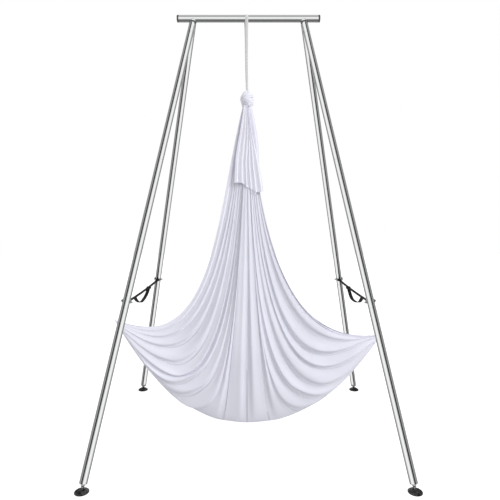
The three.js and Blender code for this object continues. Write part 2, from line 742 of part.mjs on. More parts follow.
// Blends the key fold lines into a line for each column, from the left edge to the right one
function foldLines(columns, steps) {
  const keys = [
    ...leftFoldShares.map((shares) => [-shares[0], foldLine(shares, -1, steps)]),
    ...rightFoldShares.slice(0, -1).reverse().map((shares) => [shares[0], foldLine(shares, 1, steps)]),
  ];
  const lines = [];
  for (let column = 0; column <= columns; column++) {
    const across = -1 + 2 * column / columns;
    const next = Math.max(keys.findIndex(([place]) => place >= across), 1);
    const [[before, low], [after, high]] = [keys[next - 1], keys[next]];
    const share = (across - before) / (after - before);
    lines.push(low.map(([x, z], step) => [x + (high[step][0] - x) * share, z + (high[step][1] - z) * share]));
  }
  return lines;
}

// How far in front of its middle plane the front panel hangs, and how far its folds go in and out
function clothDepth(across, fall) {
  const width = Math.abs(across);
  const belly = Math.max(Math.sin(Math.PI * fall ** bellyLowness), 0) ** bellyFullness;
  const depth = THREE.MathUtils.lerp(pocketHalfDepth, tipHalfDepth, width ** 2);
  const neck = neckHalfDepth * Math.sqrt(1 - fall);
  const foldDepth = THREE.MathUtils.lerp(foldDepthNeck, foldDepthPocket, belly) * (1 - fall ** foldEndPower);
  const wave = foldDepth * Math.cos(across * Math.PI * clothFolds) * (1 - edgeFoldLoss * width);
  return [neck + depth * belly, wave];
}

// Hammock: front and back panel in one strip, from the neck down, round the bottom fold and up
function makeHammock() {
  const columns = 24;
  const steps = 12;
  const lines = foldLines(columns, steps);
  const surface = lines.map((line, column) => {
    const across = -1 + 2 * column / columns;
    const front = line.map(([x, z], step) => {
      const [depth, wave] = clothDepth(across, Math.sin(Math.PI / 2 * step / steps));
      return new THREE.Vector3(x, wave - depth, z);
    });
    const back = line.slice(0, -1).map(([x, z], step) => {
      const [depth, wave] = clothDepth(across, Math.sin(Math.PI / 2 * step / steps));
      return new THREE.Vector3(x, depth + wave * backFoldShare, z);
    });
    return [...front, ...back.reverse()];
  });
  const last = 2 * steps;
  const rings = surface.map((points, column) => {
    const outer = [];
    const inner = [];
    points.forEach((here, row) => {
      const along = points[Math.min(row + 1, last)].clone().sub(points[Math.max(row - 1, 0)]);
      const across = surface[Math.min(column + 1, columns)][row].clone();
      across.sub(surface[Math.max(column - 1, 0)][row]);
      const normal = along.cross(across).setLength(clothThickness / 2);
      outer.push(here.clone().add(normal).toArray());
      inner.push(here.clone().sub(normal).toArray());
    });
    return [...outer, ...inner.reverse()];
  });
  add(rig, 'hammock_cloth', stripSolid(rings), lilacCloth);
}

// Closes the end rings of a strip as ladders, point to point across its thickness
function stripSolid(rings) {
  const skin = ringedSolid(rings, false);
  const index = Array.from(skin.index.array);
  const count = rings[0].length;
  const last = (rings.length - 1) * count;
  for (let point = 0; point < count / 2 - 1; point++) {
    const [a, b, c, d] = [point, point + 1, count - 2 - point, count - 1 - point];
    index.push(a, c, b, a, d, c);
    index.push(last + a, last + b, last + c, last + a, last + c, last + d);
  }
  skin.setIndex(index);
  return skin;
}

makeBar();
const sideNames = [['left', -1], ['right', 1]];
const endNames = [['front', -1], ['back', 1]];
for (const [sideName, side] of sideNames) {
  makeSocket(sideName, side);
  for (const [endName, end] of endNames) {
    const name = `${endName}_${sideName}`;
    const leg = new THREE.Group();
    leg.applyMatrix4(legFrame(side, end));
    makeLegTubes(leg, name);
    makeBolt(leg, name, side);
    makeBail(leg, name, end);
    makeFoot(leg, name, side, end);
    rig.add(leg);
  }
  makeTieStrap(sideName, side);
}
makeSling();
makeCarabiner();
makeKnot();
makeHammock();

export default rig;
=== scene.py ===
"""Aerial rig: polished steel frame with a lilac cloth hammock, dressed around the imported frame.
Metres, +Z up, X along the top bar, -Y towards the camera."""
import json
import math

import bmesh
import bpy
import numpy as np
from mathutils import Matrix, Vector


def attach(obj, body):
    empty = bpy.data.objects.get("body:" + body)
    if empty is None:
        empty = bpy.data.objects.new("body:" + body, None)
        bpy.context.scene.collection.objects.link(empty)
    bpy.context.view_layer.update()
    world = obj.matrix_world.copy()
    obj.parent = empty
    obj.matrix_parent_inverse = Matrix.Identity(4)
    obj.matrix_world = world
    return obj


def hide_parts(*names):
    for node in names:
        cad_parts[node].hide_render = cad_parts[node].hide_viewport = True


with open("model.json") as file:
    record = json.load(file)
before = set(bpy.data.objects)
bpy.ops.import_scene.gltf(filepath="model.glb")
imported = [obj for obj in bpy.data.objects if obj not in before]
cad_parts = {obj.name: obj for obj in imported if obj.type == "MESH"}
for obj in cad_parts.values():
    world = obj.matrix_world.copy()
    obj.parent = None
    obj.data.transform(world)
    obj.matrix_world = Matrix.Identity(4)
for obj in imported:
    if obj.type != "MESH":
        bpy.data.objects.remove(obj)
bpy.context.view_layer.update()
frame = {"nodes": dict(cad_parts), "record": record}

# Frame sizes, as in the CAD part
BAR_HEIGHT = 2.905
BAR_RADIUS = 0.025
BAR_WALL = 0.003
BAR_HALF = 0.502
BAR_CAP = 0.003
CAP_PLUG = 0.018
SOCKET_SPACING = 0.388
SOCKET_LENGTH = 0.12
FOOT_WIDTH = 0.913
FOOT_DEPTH = 0.75
LEG_RADIUS = 0.0225
LEG_WALL = 0.002
LEG_END_RISE = 0.0315
SEAT = 0.0003
BALL_HEIGHT = 0.015
CUP_RADIUS = 0.0093
PLUG_FLANGE = 0.0025
PLUG_LENGTH = 0.03
BOLT_ABOVE_SEAM = 0.04
BOLT_RADIUS = 0.004
BAIL_PLATE = 0.0022
BAIL_REACH = 0.031
BAIL_EDGE = 0.0005

# Webbing sizes
WEBBING_WIDTH = 0.025
WEBBING_THICKNESS = 0.002
STRAP_SAG = 0.006
SLACK_START = -0.29
SLACK_END = 0.128
SLACK_DROP = 0.06
SLACK_TAIL = 0.026
EYE_RADIUS = 0.0061
BUCKLE_BAR = 0.003
BUCKLE_RAIL = 0.0035
BUCKLE_LENGTH = 0.016
BUCKLE_EDGE = 0.0009

# Sling and cloth sizes
SLING_X = -0.01
BIGHT_HEIGHT = 2.3858
BIGHT_RADIUS = 0.009
KNOT_TOP = 2.398
KNOT_BOTTOM = 2.279
CLOTH_BOTTOM = 0.051
LEFT_REACH = 0.938
RIGHT_REACH = 0.96
LEFT_TIP = 0.777
RIGHT_TIP = 0.686
NECK_HALF_WIDTH = 0.031

# Camera
CAMERA_DISTANCE = 3.323
CAMERA_HEIGHT = 1.524

SIDES = (("left", -1), ("right", 1))
ENDS = (("front", -1), ("back", 1))
LEGS = [(f"{end_name}_{side_name}", side, end) for side_name, side in SIDES for end_name, end in ENDS]
ALONG_X = Matrix.Rotation(math.radians(90), 4, "Y")


def placed(name, data):
    made = bpy.data.objects.new(name, data)
    bpy.context.scene.collection.objects.link(made)
    return made


def add_camera():
    data = bpy.data.cameras.new("camera")
    data.lens = 33.84
    data.sensor_width = 36
    data.shift_x = 0.003
    data.shift_y = -0.072
    camera = placed("camera", data)
    camera.location = (0, -CAMERA_DISTANCE, CAMERA_HEIGHT)
    camera.rotation_euler = (math.radians(90), 0, 0)
    bpy.context.scene.camera = camera


# Node helpers

def setup(tree, made, **values):
    """Sets a node's inputs and settings by name; a socket given as a value is linked."""
    for key, value in values.items():
        label = key.replace("_", " ")
        if label not in made.inputs:
            setattr(made, key, value)
        elif isinstance(value, bpy.types.NodeSocket):
            tree.links.new(value, made.inputs[label])
        else:
            made.inputs[label].default_value = value
    return made


def node(tree, kind, **values):
    return setup(tree, tree.nodes.new(kind), **values)


def material(name, color, roughness, metallic=0.0):
    made = bpy.data.materials.new(name)
    made.use_nodes = True
    shader = made.node_tree.nodes["Principled BSDF"]
    setup(made.node_tree, shader, Base_Color=(*color, 1), Roughness=roughness, Metallic=metallic)
    return made, made.node_tree, shader


def ramp(tree, source, stops):
    made = node(tree, "ShaderNodeValToRGB", Fac=source)
    elements = made.color_ramp.elements
    while len(elements) < len(stops):
        elements.new(0.5)
    for element, (place, color) in zip(elements, stops):
        element.position = place
        element.color = (*color, 1)
    return made.outputs["Color"]


def bump(tree, shader, height, strength, distance):
    made = node(tree, "ShaderNodeBump", Height=height, Strength=strength, Distance=distance)
    setup(tree, shader, Normal=made.outputs["Normal"])


def object_coordinates(tree, stretch=(1, 1, 1)):
    place = tree.nodes.new("ShaderNodeTexCoord")
    mapping = node(tree, "ShaderNodeMapping", Vector=place.outputs["Object"], Scale=stretch)
    return mapping.outputs["Vector"]


def noise(tree, scale, detail=3.0, stretch=(1, 1, 1)):
    place = object_coordinates(tree, stretch)
    return node(tree, "ShaderNodeTexNoise", Vector=place, Scale=scale, Detail=detail).outputs["Fac"]


# Materials

def steel_material(name, color, polished, smeared):
    """Polished tube: faint smears and fine scratches in its gloss."""
    made, tree, shader = material(name, color, polished, 1.0)
    smears = noise(tree, scale=9.0, detail=4.0, stretch=(1, 1, 0.25))
    setup(tree, shader, Roughness=ramp(tree, smears, [(0.35, (polished,) * 3), (0.7, (smeared,) * 3)]))
    scratches = noise(tree, scale=900.0, detail=2.0, stretch=(1, 1, 0.04))
    bump(tree, shader, scratches, strength=0.03, distance=0.0002)
    return made


def rubber_material():
    """Moulded black rubber with a faint grain, and painted highlights: random patches of lighter grey in its
    colour.
    """
    made, tree, shader = material("foot_rubber", (0.01, 0.01, 0.011), 0.24)
    # Painted highlights: the colour ramp below lifts random patches from near black to dark grey, standing in
    # for gloss on the pad.
    painted_highlights = noise(tree, scale=60.0, detail=5.0)
    colors = [(0.4, (0.003, 0.003, 0.004)), (0.66, (0.05, 0.05, 0.051))]
    setup(tree, shader, Specular_IOR_Level=0.35, Base_Color=ramp(tree, painted_highlights, colors))
    bump(tree, shader, noise(tree, scale=900.0), strength=0.25, distance=0.0004)
    return made


def plastic_material():
    made, tree, shader = material("buckle_plastic", (0.018, 0.018, 0.02), 0.42)
    bump(tree, shader, noise(tree, scale=1500.0), strength=0.15, distance=0.0002)
    return made


def webbing_material(name, dark, light, sheen, pitch=40.0):
    """Woven webbing: ribs across the strap and a twill along it, from the strap's own UVs."""
    made, tree, shader = material(name, dark, 0.85)
    place = tree.nodes.new("ShaderNodeTexCoord").outputs["UV"]
    ribs = node(tree, "ShaderNodeTexWave", Vector=place, Scale=pitch, Distortion=0.4, bands_direction="Y")
    twill = node(tree, "ShaderNodeTexWave", Vector=place, Scale=pitch * 0.7, Distortion=0.2)
    twill.bands_direction = "DIAGONAL"
    weave = node(tree, "ShaderNodeMath", operation="MULTIPLY")
    for index, wave in enumerate((ribs, twill)):
        tree.links.new(wave.outputs["Fac"], weave.inputs[index])
    color = ramp(tree, weave.outputs[0], [(0.0, dark), (1.0, light)])
    setup(tree, shader, Sheen_Weight=sheen, Base_Color=color)
    bump(tree, shader, weave.outputs[0], strength=0.6, distance=0.0006)
    return made


def cloth_material(name, pale, light_through):
    """Fine stretch knit: faint tone drift, a tiny knit rib, a soft sheen and some light from behind."""
    blue = pale + 0.09
    made, tree, shader = material(name, (pale, pale, blue), 0.75)
    tones = [(place, (pale + step, pale + step, blue + step)) for place, step in ((0.3, -0.02), (0.7, 0.02))]
    color = ramp(tree, noise(tree, scale=3.0, detail=4.0), tones)
    setup(tree, shader, Sheen_Weight=0.25, Sheen_Roughness=0.4, Base_Color=color)
    knit = node(tree, "ShaderNodeTexWave", Vector=object_coordinates(tree), Scale=260.0, Distortion=0.5)
    bump(tree, shader, knit.outputs["Fac"], strength=0.08, distance=0.0004)
    through = node(tree, "ShaderNodeBsdfTranslucent", Color=(0.86, 0.86, 0.93, 1))
    both = node(tree, "ShaderNodeMixShader", Fac=light_through)
    for index, layer in enumerate((shader, through), 1):
        tree.links.new(layer.outputs["BSDF"], both.inputs[index])
    out = next(item for item in tree.nodes if item.bl_idname == "ShaderNodeOutputMaterial")
    setup(tree, out, Surface=both.outputs["Shader"])
    return made


LOOKS = {
    "steel": steel_material("steel", (0.86, 0.865, 0.87), 0.07, 0.13),
    "dark_steel": steel_material("dark_steel", (0.2, 0.2, 0.205), 0.25, 0.38),
    "hardware": steel_material("hardware", (0.66, 0.67, 0.68), 0.25, 0.36),
    "foot_rubber": rubber_material(),
    "black_plastic": plastic_material(),
    "black_webbing": webbing_material("black_webbing", (0.002, 0.002, 0.002), (0.014, 0.014, 0.015), 0.0),
    "pale_webbing": webbing_material("pale_webbing", (0.57, 0.57, 0.57), (0.76, 0.76, 0.76), 0.2),
    "cloth": cloth_material("cloth", 0.81, 0.15),
}
LAYERED_CLOTH = cloth_material("layered_cloth", 0.84, 0.1)


# Mesh helpers

def piece(name, mesh, body, slot, stands_for=(), sharp=None, look=None):
    """A smooth piece that rides on a body; edges sharper than the given angle stay crisp."""
    made = placed(name, mesh)
    mesh.materials.append(look or LOOKS[slot])
    for polygon in mesh.polygons:
        polygon.use_smooth = True
    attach(made, body)
    if stands_for:
        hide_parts(*stands_for)
    if sharp:
        sharpen(made, sharp)
    return made


def sharpen(made, angle):
    mesh = made.data
    work = bmesh.new()
    work.from_mesh(mesh)
    for edge in work.edges:
        if len(edge.link_faces) == 2 and edge.calc_face_angle(0) > math.radians(angle):
            edge.smooth = False
    work.to_mesh(mesh)
    work.free()


def reshape(made, kind, **settings):
    """Writes the result of one modifier into a piece's mesh."""
    step = made.modifiers.new("shape", kind)
    for key, value in settings.items():
        setattr(step, key, value)
    graph = bpy.context.evaluated_depsgraph_get()
    graph.update()
    baked = bpy.data.meshes.new_from_object(made.evaluated_get(graph))
    made.modifiers.clear()
    old = made.data
    made.data = baked
    bpy.data.meshes.remove(old)


def soften(made, width, segments=3):
    """Rounds a piece's sharp edges."""
    reshape(made, "BEVEL", width=width, segments=segments, limit_method="ANGLE")
    sharpen(made, 50)


def shaped(mesh, joined=(), cut=()):
    """A mesh with others joined onto it, and then others cut out of it."""
    body = placed("body", mesh)
    for operation, meshes in (("UNION", joined), ("DIFFERENCE", cut)):
        for other in meshes:
            tool = placed("tool", other)
            reshape(body, "BOOLEAN", operation=operation, solver="EXACT", object=tool)
            bpy.data.objects.remove(tool)
    made = body.data
    made.materials.clear()
    bpy.data.objects.remove(body)
    return made


def new_mesh(name, vertices, faces):
    mesh = bpy.data.meshes.new(name)
    mesh.from_pydata(vertices, [], faces)
    return mesh


def circle(steps):
    """Angles of equal steps round a full turn."""
    return [2 * math.pi * step / steps for step in range(steps)]


def shares(steps):
    """Equal steps from 0 to 1."""
    return [step / steps for step in range(steps + 1)]


def around(radius, turn):
    return radius * math.cos(turn), radius * math.sin(turn)


def blend(ends, share):
    return ends[0] + (ends[1] - ends[0]) * share


def skin(rings, closed=False, wraps=True):
    """Faces between rings of vertex numbers; a ring on the axis repeats one number."""
    faces = []
    for index in range(len(rings) if closed else len(rings) - 1):
        low, high = rings[index], rings[(index + 1) % len(rings)]
        for step in range(len(low) if wraps else len(low) - 1):
            after = (step + 1) % len(low)
            faces.append(list(dict.fromkeys([low[step], low[after], high[after], high[step]])))
    return [face for face in faces if len(face) > 2]


def revolved(profile, sides=64, matrix=Matrix()):
    """A closed mesh from a profile of (radius, height) points turned round Z."""
    vertices, rings = [], []
    for radius, height in profile:
        count = sides if radius > 0 else 1
        rings.append([len(vertices) + step % count for step in range(sides)])
        vertices += [(*around(radius, turn), height) for turn in circle(sides)[:count]]
    mesh = new_mesh("turned", vertices, skin(rings, profile[0][0] > 0))
    mesh.transform(matrix)
    return mesh


def rod(radius, low, high, matrix, sides=64):
    return revolved([(0, low), (radius, low), (radius, high), (0, high)], sides, matrix)


def joined_rows(name, rows, closed=False, wraps=False):
    """Joins rows of points into a sheet, or into a tube if each row wraps round to its own start."""
    count = len(rows[0])
    numbers = [list(range(start, start + count)) for start in range(0, len(rows) * count, count)]
    faces = skin(numbers, closed, wraps)
    if wraps and not closed:
        faces += [numbers[0][::-1], numbers[-1]]
    return new_mesh(name, [tuple(point) for row in rows for point in row], faces)


def tube_of_rings(name, rings, closed=False):
    """A skin round rings of points; its ends are capped unless it closes on itself."""
    return joined_rows(name, rings, closed, True)


def add_uvs(mesh, places):
    """UVs in metres, one for each vertex."""
    layer = mesh.uv_layers.new(name="weave")
    for loop in mesh.loops:
        layer.data[loop.index].uv = places[loop.vertex_index]


def leg_frame(side, end):
    """Matrix of a leg: origin on the bar's axis, Z up the leg, X across it."""
    top = Vector((side * SOCKET_SPACING, 0, BAR_HEIGHT))
    up = (top - Vector((side * FOOT_WIDTH, end * FOOT_DEPTH, BALL_HEIGHT))).normalized()
    across = (Vector((1, 0, 0)) - up * up.x).normalized()
    matrix = Matrix((across, up.cross(across), up)).transposed().to_4x4()
    matrix.translation = top
    return matrix


LEG_LENGTH = (Vector((SOCKET_SPACING, 0, BAR_HEIGHT)) - Vector((FOOT_WIDTH, FOOT_DEPTH, BALL_HEIGHT))).length
LEG_END = LEG_LENGTH - LEG_END_RISE
SECTION_LENGTH = (LEG_END - SOCKET_LENGTH) / 3
BOLT_DISTANCE = LEG_END - SECTION_LENGTH - BOLT_ABOVE_SEAM


# Frame pieces

def dress_cad_nodes():
    """CAD pieces whose shape is right keep it and get the finish of their slot."""
    slots = {entry["node"]: entry["material_slot"] for entry in frame["record"]["subparts"]}
    for name, made in frame["nodes"].items():
        made.data.materials.clear()
        made.data.materials.append(LOOKS[slots[name]])


TUBE_EDGE = 0.0004
CAP_FIT = 0.0004
# Rounded rim of an end cap: how far in from the bar's radius, and how far out from the bar's end
CAP_RIM = ((0.0004, 0), (0, 0.0005), (0.0004, 0.0016), (0.0018, 0.0025), (0.005, BAR_CAP))


def round_tube(name, node_name, outer, wall, low, high, matrix):
    inner = outer - wall
    profile = [(outer - TUBE_EDGE, low), (outer, low + TUBE_EDGE), (outer, high - TUBE_EDGE),
               (outer - TUBE_EDGE, high), (inner, high), (inner, low)]
    piece(name, revolved(profile, matrix=matrix), "frame", "steel", [node_name], 40)


def build_bar():
    matrix = Matrix.Translation((0, 0, BAR_HEIGHT)) @ ALONG_X
    round_tube("top_bar", "bar_tube", BAR_RADIUS, BAR_WALL, -BAR_HALF, BAR_HALF, matrix)
    plug = BAR_RADIUS - BAR_WALL - CAP_FIT
    face = BAR_HALF + SEAT
    profile = [(0, face - CAP_PLUG), (plug, face - CAP_PLUG), (plug, face)]
    profile += [(BAR_RADIUS - inset, face + rise) for inset, rise in CAP_RIM]
    profile.append((0, face + BAR_CAP))
    for name, side in SIDES:
        turned = matrix @ Matrix.Rotation(math.pi if side < 0 else 0, 4, "X")
        mesh = revolved(profile, matrix=turned)
        piece(f"end_cap_{name}", mesh, "frame", "dark_steel", [f"bar_cap_{name}"], 50)


def build_legs():
    for name, side, end in LEGS:
        matrix = leg_frame(side, end)
        for index, level in enumerate(("upper", "middle", "lower")):
            top = -(SOCKET_LENGTH + index * SECTION_LENGTH) - SEAT
            bottom = -(SOCKET_LENGTH + (index + 1) * SECTION_LENGTH)
            if level == "lower":
                bottom += PLUG_FLANGE + SEAT
            part = f"{name}_{level}"
            round_tube(f"tube_{part}", f"leg_{part}", LEG_RADIUS, LEG_WALL, bottom, top, matrix)


OVERRUN = 0.01
BAR_CUT = 0.2
WELD_STEPS = 180
WELD_RADIUS = 0.0015
WELD_OVERLAP = 0.001
BEAD_SIDES = 10
BEAD_FADE = 4
BEAD_END = 0.35
BEAD_RIPPLE = 0.14
RIPPLE_STEP = 2.1


def build_sockets():
    for name, side in SIDES:
        legs = [leg_frame(side, end) for end_name, end in ENDS]
        front, back = [rod(LEG_RADIUS, -SOCKET_LENGTH, 0, leg) for leg in legs]
        cuts = [rod(LEG_RADIUS - LEG_WALL, -SOCKET_LENGTH - OVERRUN, OVERRUN, leg) for leg in legs]
        bar = Matrix.Translation((side * SOCKET_SPACING, 0, BAR_HEIGHT)) @ ALONG_X
        cuts.append(rod(BAR_RADIUS + SEAT, -BAR_CUT, BAR_CUT, bar, 96))
        piece(f"bracket_{name}", shaped(front, [back], cuts), "frame", "steel", [f"socket_{name}"], 40)
        for end_name, end in ENDS:
            build_weld(f"weld_{name}_{end_name}", side, end)


def meets_bar(start, up):
    """Where a line up a leg's wall first meets the bar."""
    square = up.y ** 2 + up.z ** 2
    slope = start.y * up.y + (start.z - BAR_HEIGHT) * up.z
    rest = start.y ** 2 + (start.z - BAR_HEIGHT) ** 2 - (BAR_RADIUS + SEAT) ** 2
    return start + up * ((-slope - math.sqrt(max(slope * slope - square * rest, 0))) / square)


def build_weld(name, side, end):
    """Rippled bead where a short tube meets the bar, outside the other tube."""
    matrix = leg_frame(side, end)
    other = leg_frame(side, -end).inverted()
    up = matrix.to_3x3() @ Vector((0, 0, 1))
    run = []
    for turn in circle(WELD_STEPS):
        start = matrix @ Vector((*around(LEG_RADIUS, turn), 0))
        point = meets_bar(start, up)
        inside = other @ point
        if math.hypot(inside.x, inside.y) > LEG_RADIUS - WELD_OVERLAP:
            run.append((turn, point))
    gap = max(range(len(run)), key=lambda i: (run[i][0] - run[i - 1][0]) % (2 * math.pi))
    points = [point for turn, point in run[gap:] + run[:gap]]
    piece(name, tube_of_rings(name, bead_rings(points)), "frame", "steel")


def bead_rings(points):
    """Rings round a line of points, with the ripples of a weld and thinner ends."""
    rings = []
    last = len(points) - 1
    for index, point in enumerate(points):
        ahead = points[min(index + 1, last)] - points[max(index - 1, 0)]
        ahead.normalize()
        side = ahead.cross(Vector((0, 0, 1))).normalized()
        up = side.cross(ahead)
        full = min(index, last - index, BEAD_FADE) / BEAD_FADE
        ripple = 1 + BEAD_RIPPLE * math.sin(index * RIPPLE_STEP)
        size = WELD_RADIUS * (BEAD_END + (1 - BEAD_END) * full) * ripple
        ring = [side * math.cos(turn) + up * math.sin(turn) for turn in circle(BEAD_SIDES)]
        rings.append([point + way * size for way in ring])
    return rings


# Outlines as (radius, distance out from the face) of the bolt's domed head and of its nut
BOLT_HEAD = ((0.0088, 0), (0.009, 0.0006), (0.009, 0.0013), (0.0075, 0.0015), (0.0075, 0.0028),
             (0.0062, 0.0048), (0.0038, 0.006), (0.0026, 0.006), (0.0022, 0.0038), (0, 0.0038))
NUT = ((0, 0.0065), (0.0058, 0.0065), (0.0075, 0.0056), (0.0075, 0.0008), (0.0066, 0), (0, 0))
SHANK_END = 0.005
BOLT_END = 0.0125
BOLT_CHAMFER = (0.0006, 0.0008)


def build_bolts():
    grip = LEG_RADIUS + 2 * SEAT + BAIL_PLATE
    face = grip + SEAT
    shank = [(0, -grip - SHANK_END), (BOLT_RADIUS, -grip - SHANK_END), (BOLT_RADIUS, face)]
    head = shank + [(radius, face + out) for radius, out in BOLT_HEAD]
    nut = [(radius, -face - out) for radius, out in NUT]
    stub = [(0, -grip - BOLT_END), (BOLT_RADIUS - BOLT_CHAMFER[0], -grip - BOLT_END),
            (BOLT_RADIUS, -grip - BOLT_END + BOLT_CHAMFER[1]), (BOLT_RADIUS, -grip), (0, -grip)]
    for name, side, end in LEGS:
        place = leg_frame(side, end) @ Matrix.Translation((0, 0, -BOLT_DISTANCE)) @ ALONG_X
        if side < 0:
            place = place @ Matrix.Rotation(math.pi, 4, "X")
        mesh = shaped(revolved(head, 48, place), [revolved(nut, 6, place), revolved(stub, 48, place)])
        piece(f"bolt_{name}", mesh, "frame", "hardware", [f"strap_bolt_{name}"], 30)


BOLT_EAR = 0.01
CROSSBAR_EAR = 0.006
CROSSBAR_RADIUS = 0.003
EAR_TRIM = 0.1
BOLT_HOLE = 0.0044
HOLE_CUT = 0.05


def bail_outline(reach):
    """Round ears about the bolt and about the crossbar, seen along the bolt."""
    outline = []
    first = 0 if reach > 0 else math.pi
    ears = ((0, BOLT_EAR, math.pi / 2, 16), (reach, CROSSBAR_EAR, -math.pi / 2, 12))
    for centre, radius, quarter, steps in ears:
        for share in shares(steps):
            y, z = around(radius, first + quarter + EAR_TRIM + (math.pi - 2 * EAR_TRIM) * share)
            outline.append((centre + y, z))
    return outline


def build_bails():
    """Two rounded plates held by the bolt and a crossbar behind the leg."""
    inner = LEG_RADIUS + SEAT
    outer = inner + BAIL_PLATE
    for name, side, end in LEGS:
        place = leg_frame(side, end) @ Matrix.Translation((0, 0, -BOLT_DISTANCE))
        reach = -end * BAIL_REACH
        outline = bail_outline(reach)
        plates = []
        for low, high in ((-outer, -inner), (inner, outer)):
            plate = tube_of_rings("plate", [[(x, y, z) for y, z in outline] for x in (low, high)])
            plate.transform(place)
            plates.append(plate)
        cross = rod(CROSSBAR_RADIUS, -outer, outer, place @ Matrix.Translation((0, reach, 0)) @ ALONG_X, 32)
        hole = rod(BOLT_HOLE, -HOLE_CUT, HOLE_CUT, place @ ALONG_X, 32)
        mesh = shaped(plates[0], [plates[1], cross], [hole])
        soften(piece(f"bail_{name}", mesh, "frame", "hardware", [f"strap_bail_{name}"]), BAIL_EDGE, 2)


# Levelling feet

PLUG_EDGE = (0.0003, 0.0005)
PLUG_TAPER = 0.002
STUD_BORE = 0.0053
NECK_RADIUS = 0.0045
BOSS_FROM_BALL = 0.013
BOSS_LENGTH = 0.0182
THREAD_RADIUS = 0.005
THREAD_ROOT = 0.0044
THREAD_PITCH = 0.0015
THREAD_START = 0.004
THREAD_TURNS = 46
STUD_LENGTH = 0.074
STUD_EDGE = (0.001, 0.0005)
# Outline of the boss as (radius, height above its foot)
BOSS = ((0.0066, 0), (0.0075, 0.0008), (0.0092, 0.0035), (0.0108, 0.007), (0.0119, 0.0108), (0.0125, 0.0135),
        (0.0125, 0.0176), (0.0119, BOSS_LENGTH), (THREAD_RADIUS, BOSS_LENGTH))
# Outline of the pad as (radius, height), from its underside up to its mouth
PAD = ((0.001, 0), (0.038, 0), (0.0395, 0.0006), (0.04, 0.002), (0.04, 0.0046), (0.0392, 0.0058),
       (0.0372, 0.0066), (0.0345, 0.0092), (0.031, 0.0121), (0.028, 0.0145), (0.0235, 0.0167),
       (0.0185, 0.0189), (0.0145, 0.0204), (0.0125, 0.0209), (0.0118, 0.0214), (0.011, 0.0216))
PAD_MOUTH = math.radians(59)
CUP_STEPS = 8
RIBS = 10
RIB_DEPTH = 0.0024
SKIRT_INNER = 0.0135
SKIRT_OUTER = 0.038
RIM_HEIGHT = 0.006


def build_feet():
    for name, side, end in LEGS:
        leg = leg_frame(side, end)
        build_plug(name, leg)
        build_stud(name, leg)
        build_pad(name, side, end)


def build_plug(name, leg):
    """Flanged plug in the leg's end, with a plain bore for the stud."""
    fit = LEG_RADIUS - LEG_WALL - SEAT
    low = -LEG_END
    flange, top = low + PLUG_FLANGE, low + PLUG_LENGTH
    edge, foot_edge = PLUG_EDGE
    profile = [(LEG_RADIUS - foot_edge, low), (LEG_RADIUS, low + foot_edge), (LEG_RADIUS, flange - edge),
               (LEG_RADIUS - edge, flange), (fit, flange), (fit, top - PLUG_TAPER), (fit - PLUG_TAPER, top),
               (STUD_BORE, top), (STUD_BORE, low)]
    piece(f"plug_{name}", revolved(profile, matrix=leg), "frame", "hardware", [f"foot_plug_{name}"], 40)


def build_stud(name, leg):
    """Silver boss, slim neck and the thread that goes up into the leg."""
    ball = -LEG_LENGTH
    low = ball + BOSS_FROM_BALL
    top = low + BOSS_LENGTH
    profile = [(0, ball + CUP_RADIUS), (NECK_RADIUS, ball + CUP_RADIUS), (NECK_RADIUS, low)]
    profile += [(radius, low + height) for radius, height in BOSS]
    for turn in range(THREAD_TURNS):
        height = top + THREAD_START + THREAD_PITCH * turn
        profile += [(THREAD_RADIUS, height), (THREAD_ROOT, height + THREAD_PITCH / 2)]
    tip = top + STUD_LENGTH
    profile += [(THREAD_RADIUS, tip - STUD_EDGE[1]), (THREAD_RADIUS - STUD_EDGE[0], tip), (0, tip)]
    piece(f"stud_{name}", revolved(profile, 48, leg), f"stud_{name}", "steel", [f"foot_stud_{name}"], 40)


def build_pad(name, side, end):
    """Black moulded pad: rim, sloping skirt with radial ribs, crown round the ball."""
    turns = [PAD_MOUTH + (math.pi - PAD_MOUTH) * share for share in shares(CUP_STEPS)[:-1]]
    cup = [(CUP_RADIUS * math.sin(turn), BALL_HEIGHT + CUP_RADIUS * math.cos(turn)) for turn in turns]
    mesh = revolved([*PAD, *cup, (0, BALL_HEIGHT - CUP_RADIUS)], 144)
    for vertex in mesh.vertices:
        radius = math.hypot(vertex.co.x, vertex.co.y)
        if vertex.co.z > RIM_HEIGHT and SKIRT_INNER < radius < SKIRT_OUTER:
            rib = max(math.cos(math.atan2(vertex.co.y, vertex.co.x) * RIBS), 0) ** 2
            share = (radius - SKIRT_INNER) / (SKIRT_OUTER - SKIRT_INNER)
            vertex.co.z -= RIB_DEPTH * (1 - rib) * math.sin(share * math.pi)
    mesh.transform(Matrix.Translation((side * FOOT_WIDTH, end * FOOT_DEPTH, 0)))
    piece(f"pad_{name}", mesh, f"pad_{name}", "foot_rubber", [f"foot_pad_{name}"], 55)


# Webbing

# Rounding and flat edge of a band, as shares of half its thickness
BAND_ROUNDING = 0.7
BAND_EDGE = 0.4


def webbing_band(name, path, body, slot, stands_for=(), closed=False, widths=None):
    """A flat band with rounded edges along [x, y, z] points; its width lies along X.

    Its UVs run across it from the middle, and along it from its first point."""
    points = [Vector(point) for point in path]
    last = len(points) - 1
    lift = WEBBING_THICKNESS / 2
    rings, places, run = [], [], 0
    for index, point in enumerate(points):
        before = points[index - 1] if index or closed else point
        after = points[(index + 1) % len(points)] if index < last or closed else point
        out = (after - before).normalized().cross(Vector((1, 0, 0))).normalized()
        half = (widths[index] if widths else WEBBING_WIDTH) / 2
        near = half - BAND_ROUNDING * lift
        under = ((-half, -BAND_EDGE), (-near, -1), (0, -1), (near, -1), (half, -BAND_EDGE))
        profile = under + tuple((x, -rise) for x, rise in reversed(under))
        rings.append([point + Vector((x, 0, 0)) + out * rise * lift for x, rise in profile])
        run += (point - before).length if index else 0
        places += [(x, run) for x, rise in profile]
    mesh = tube_of_rings(name, rings, closed)
    add_uvs(mesh, places)
    piece(name, mesh, body, slot, stands_for, 60)


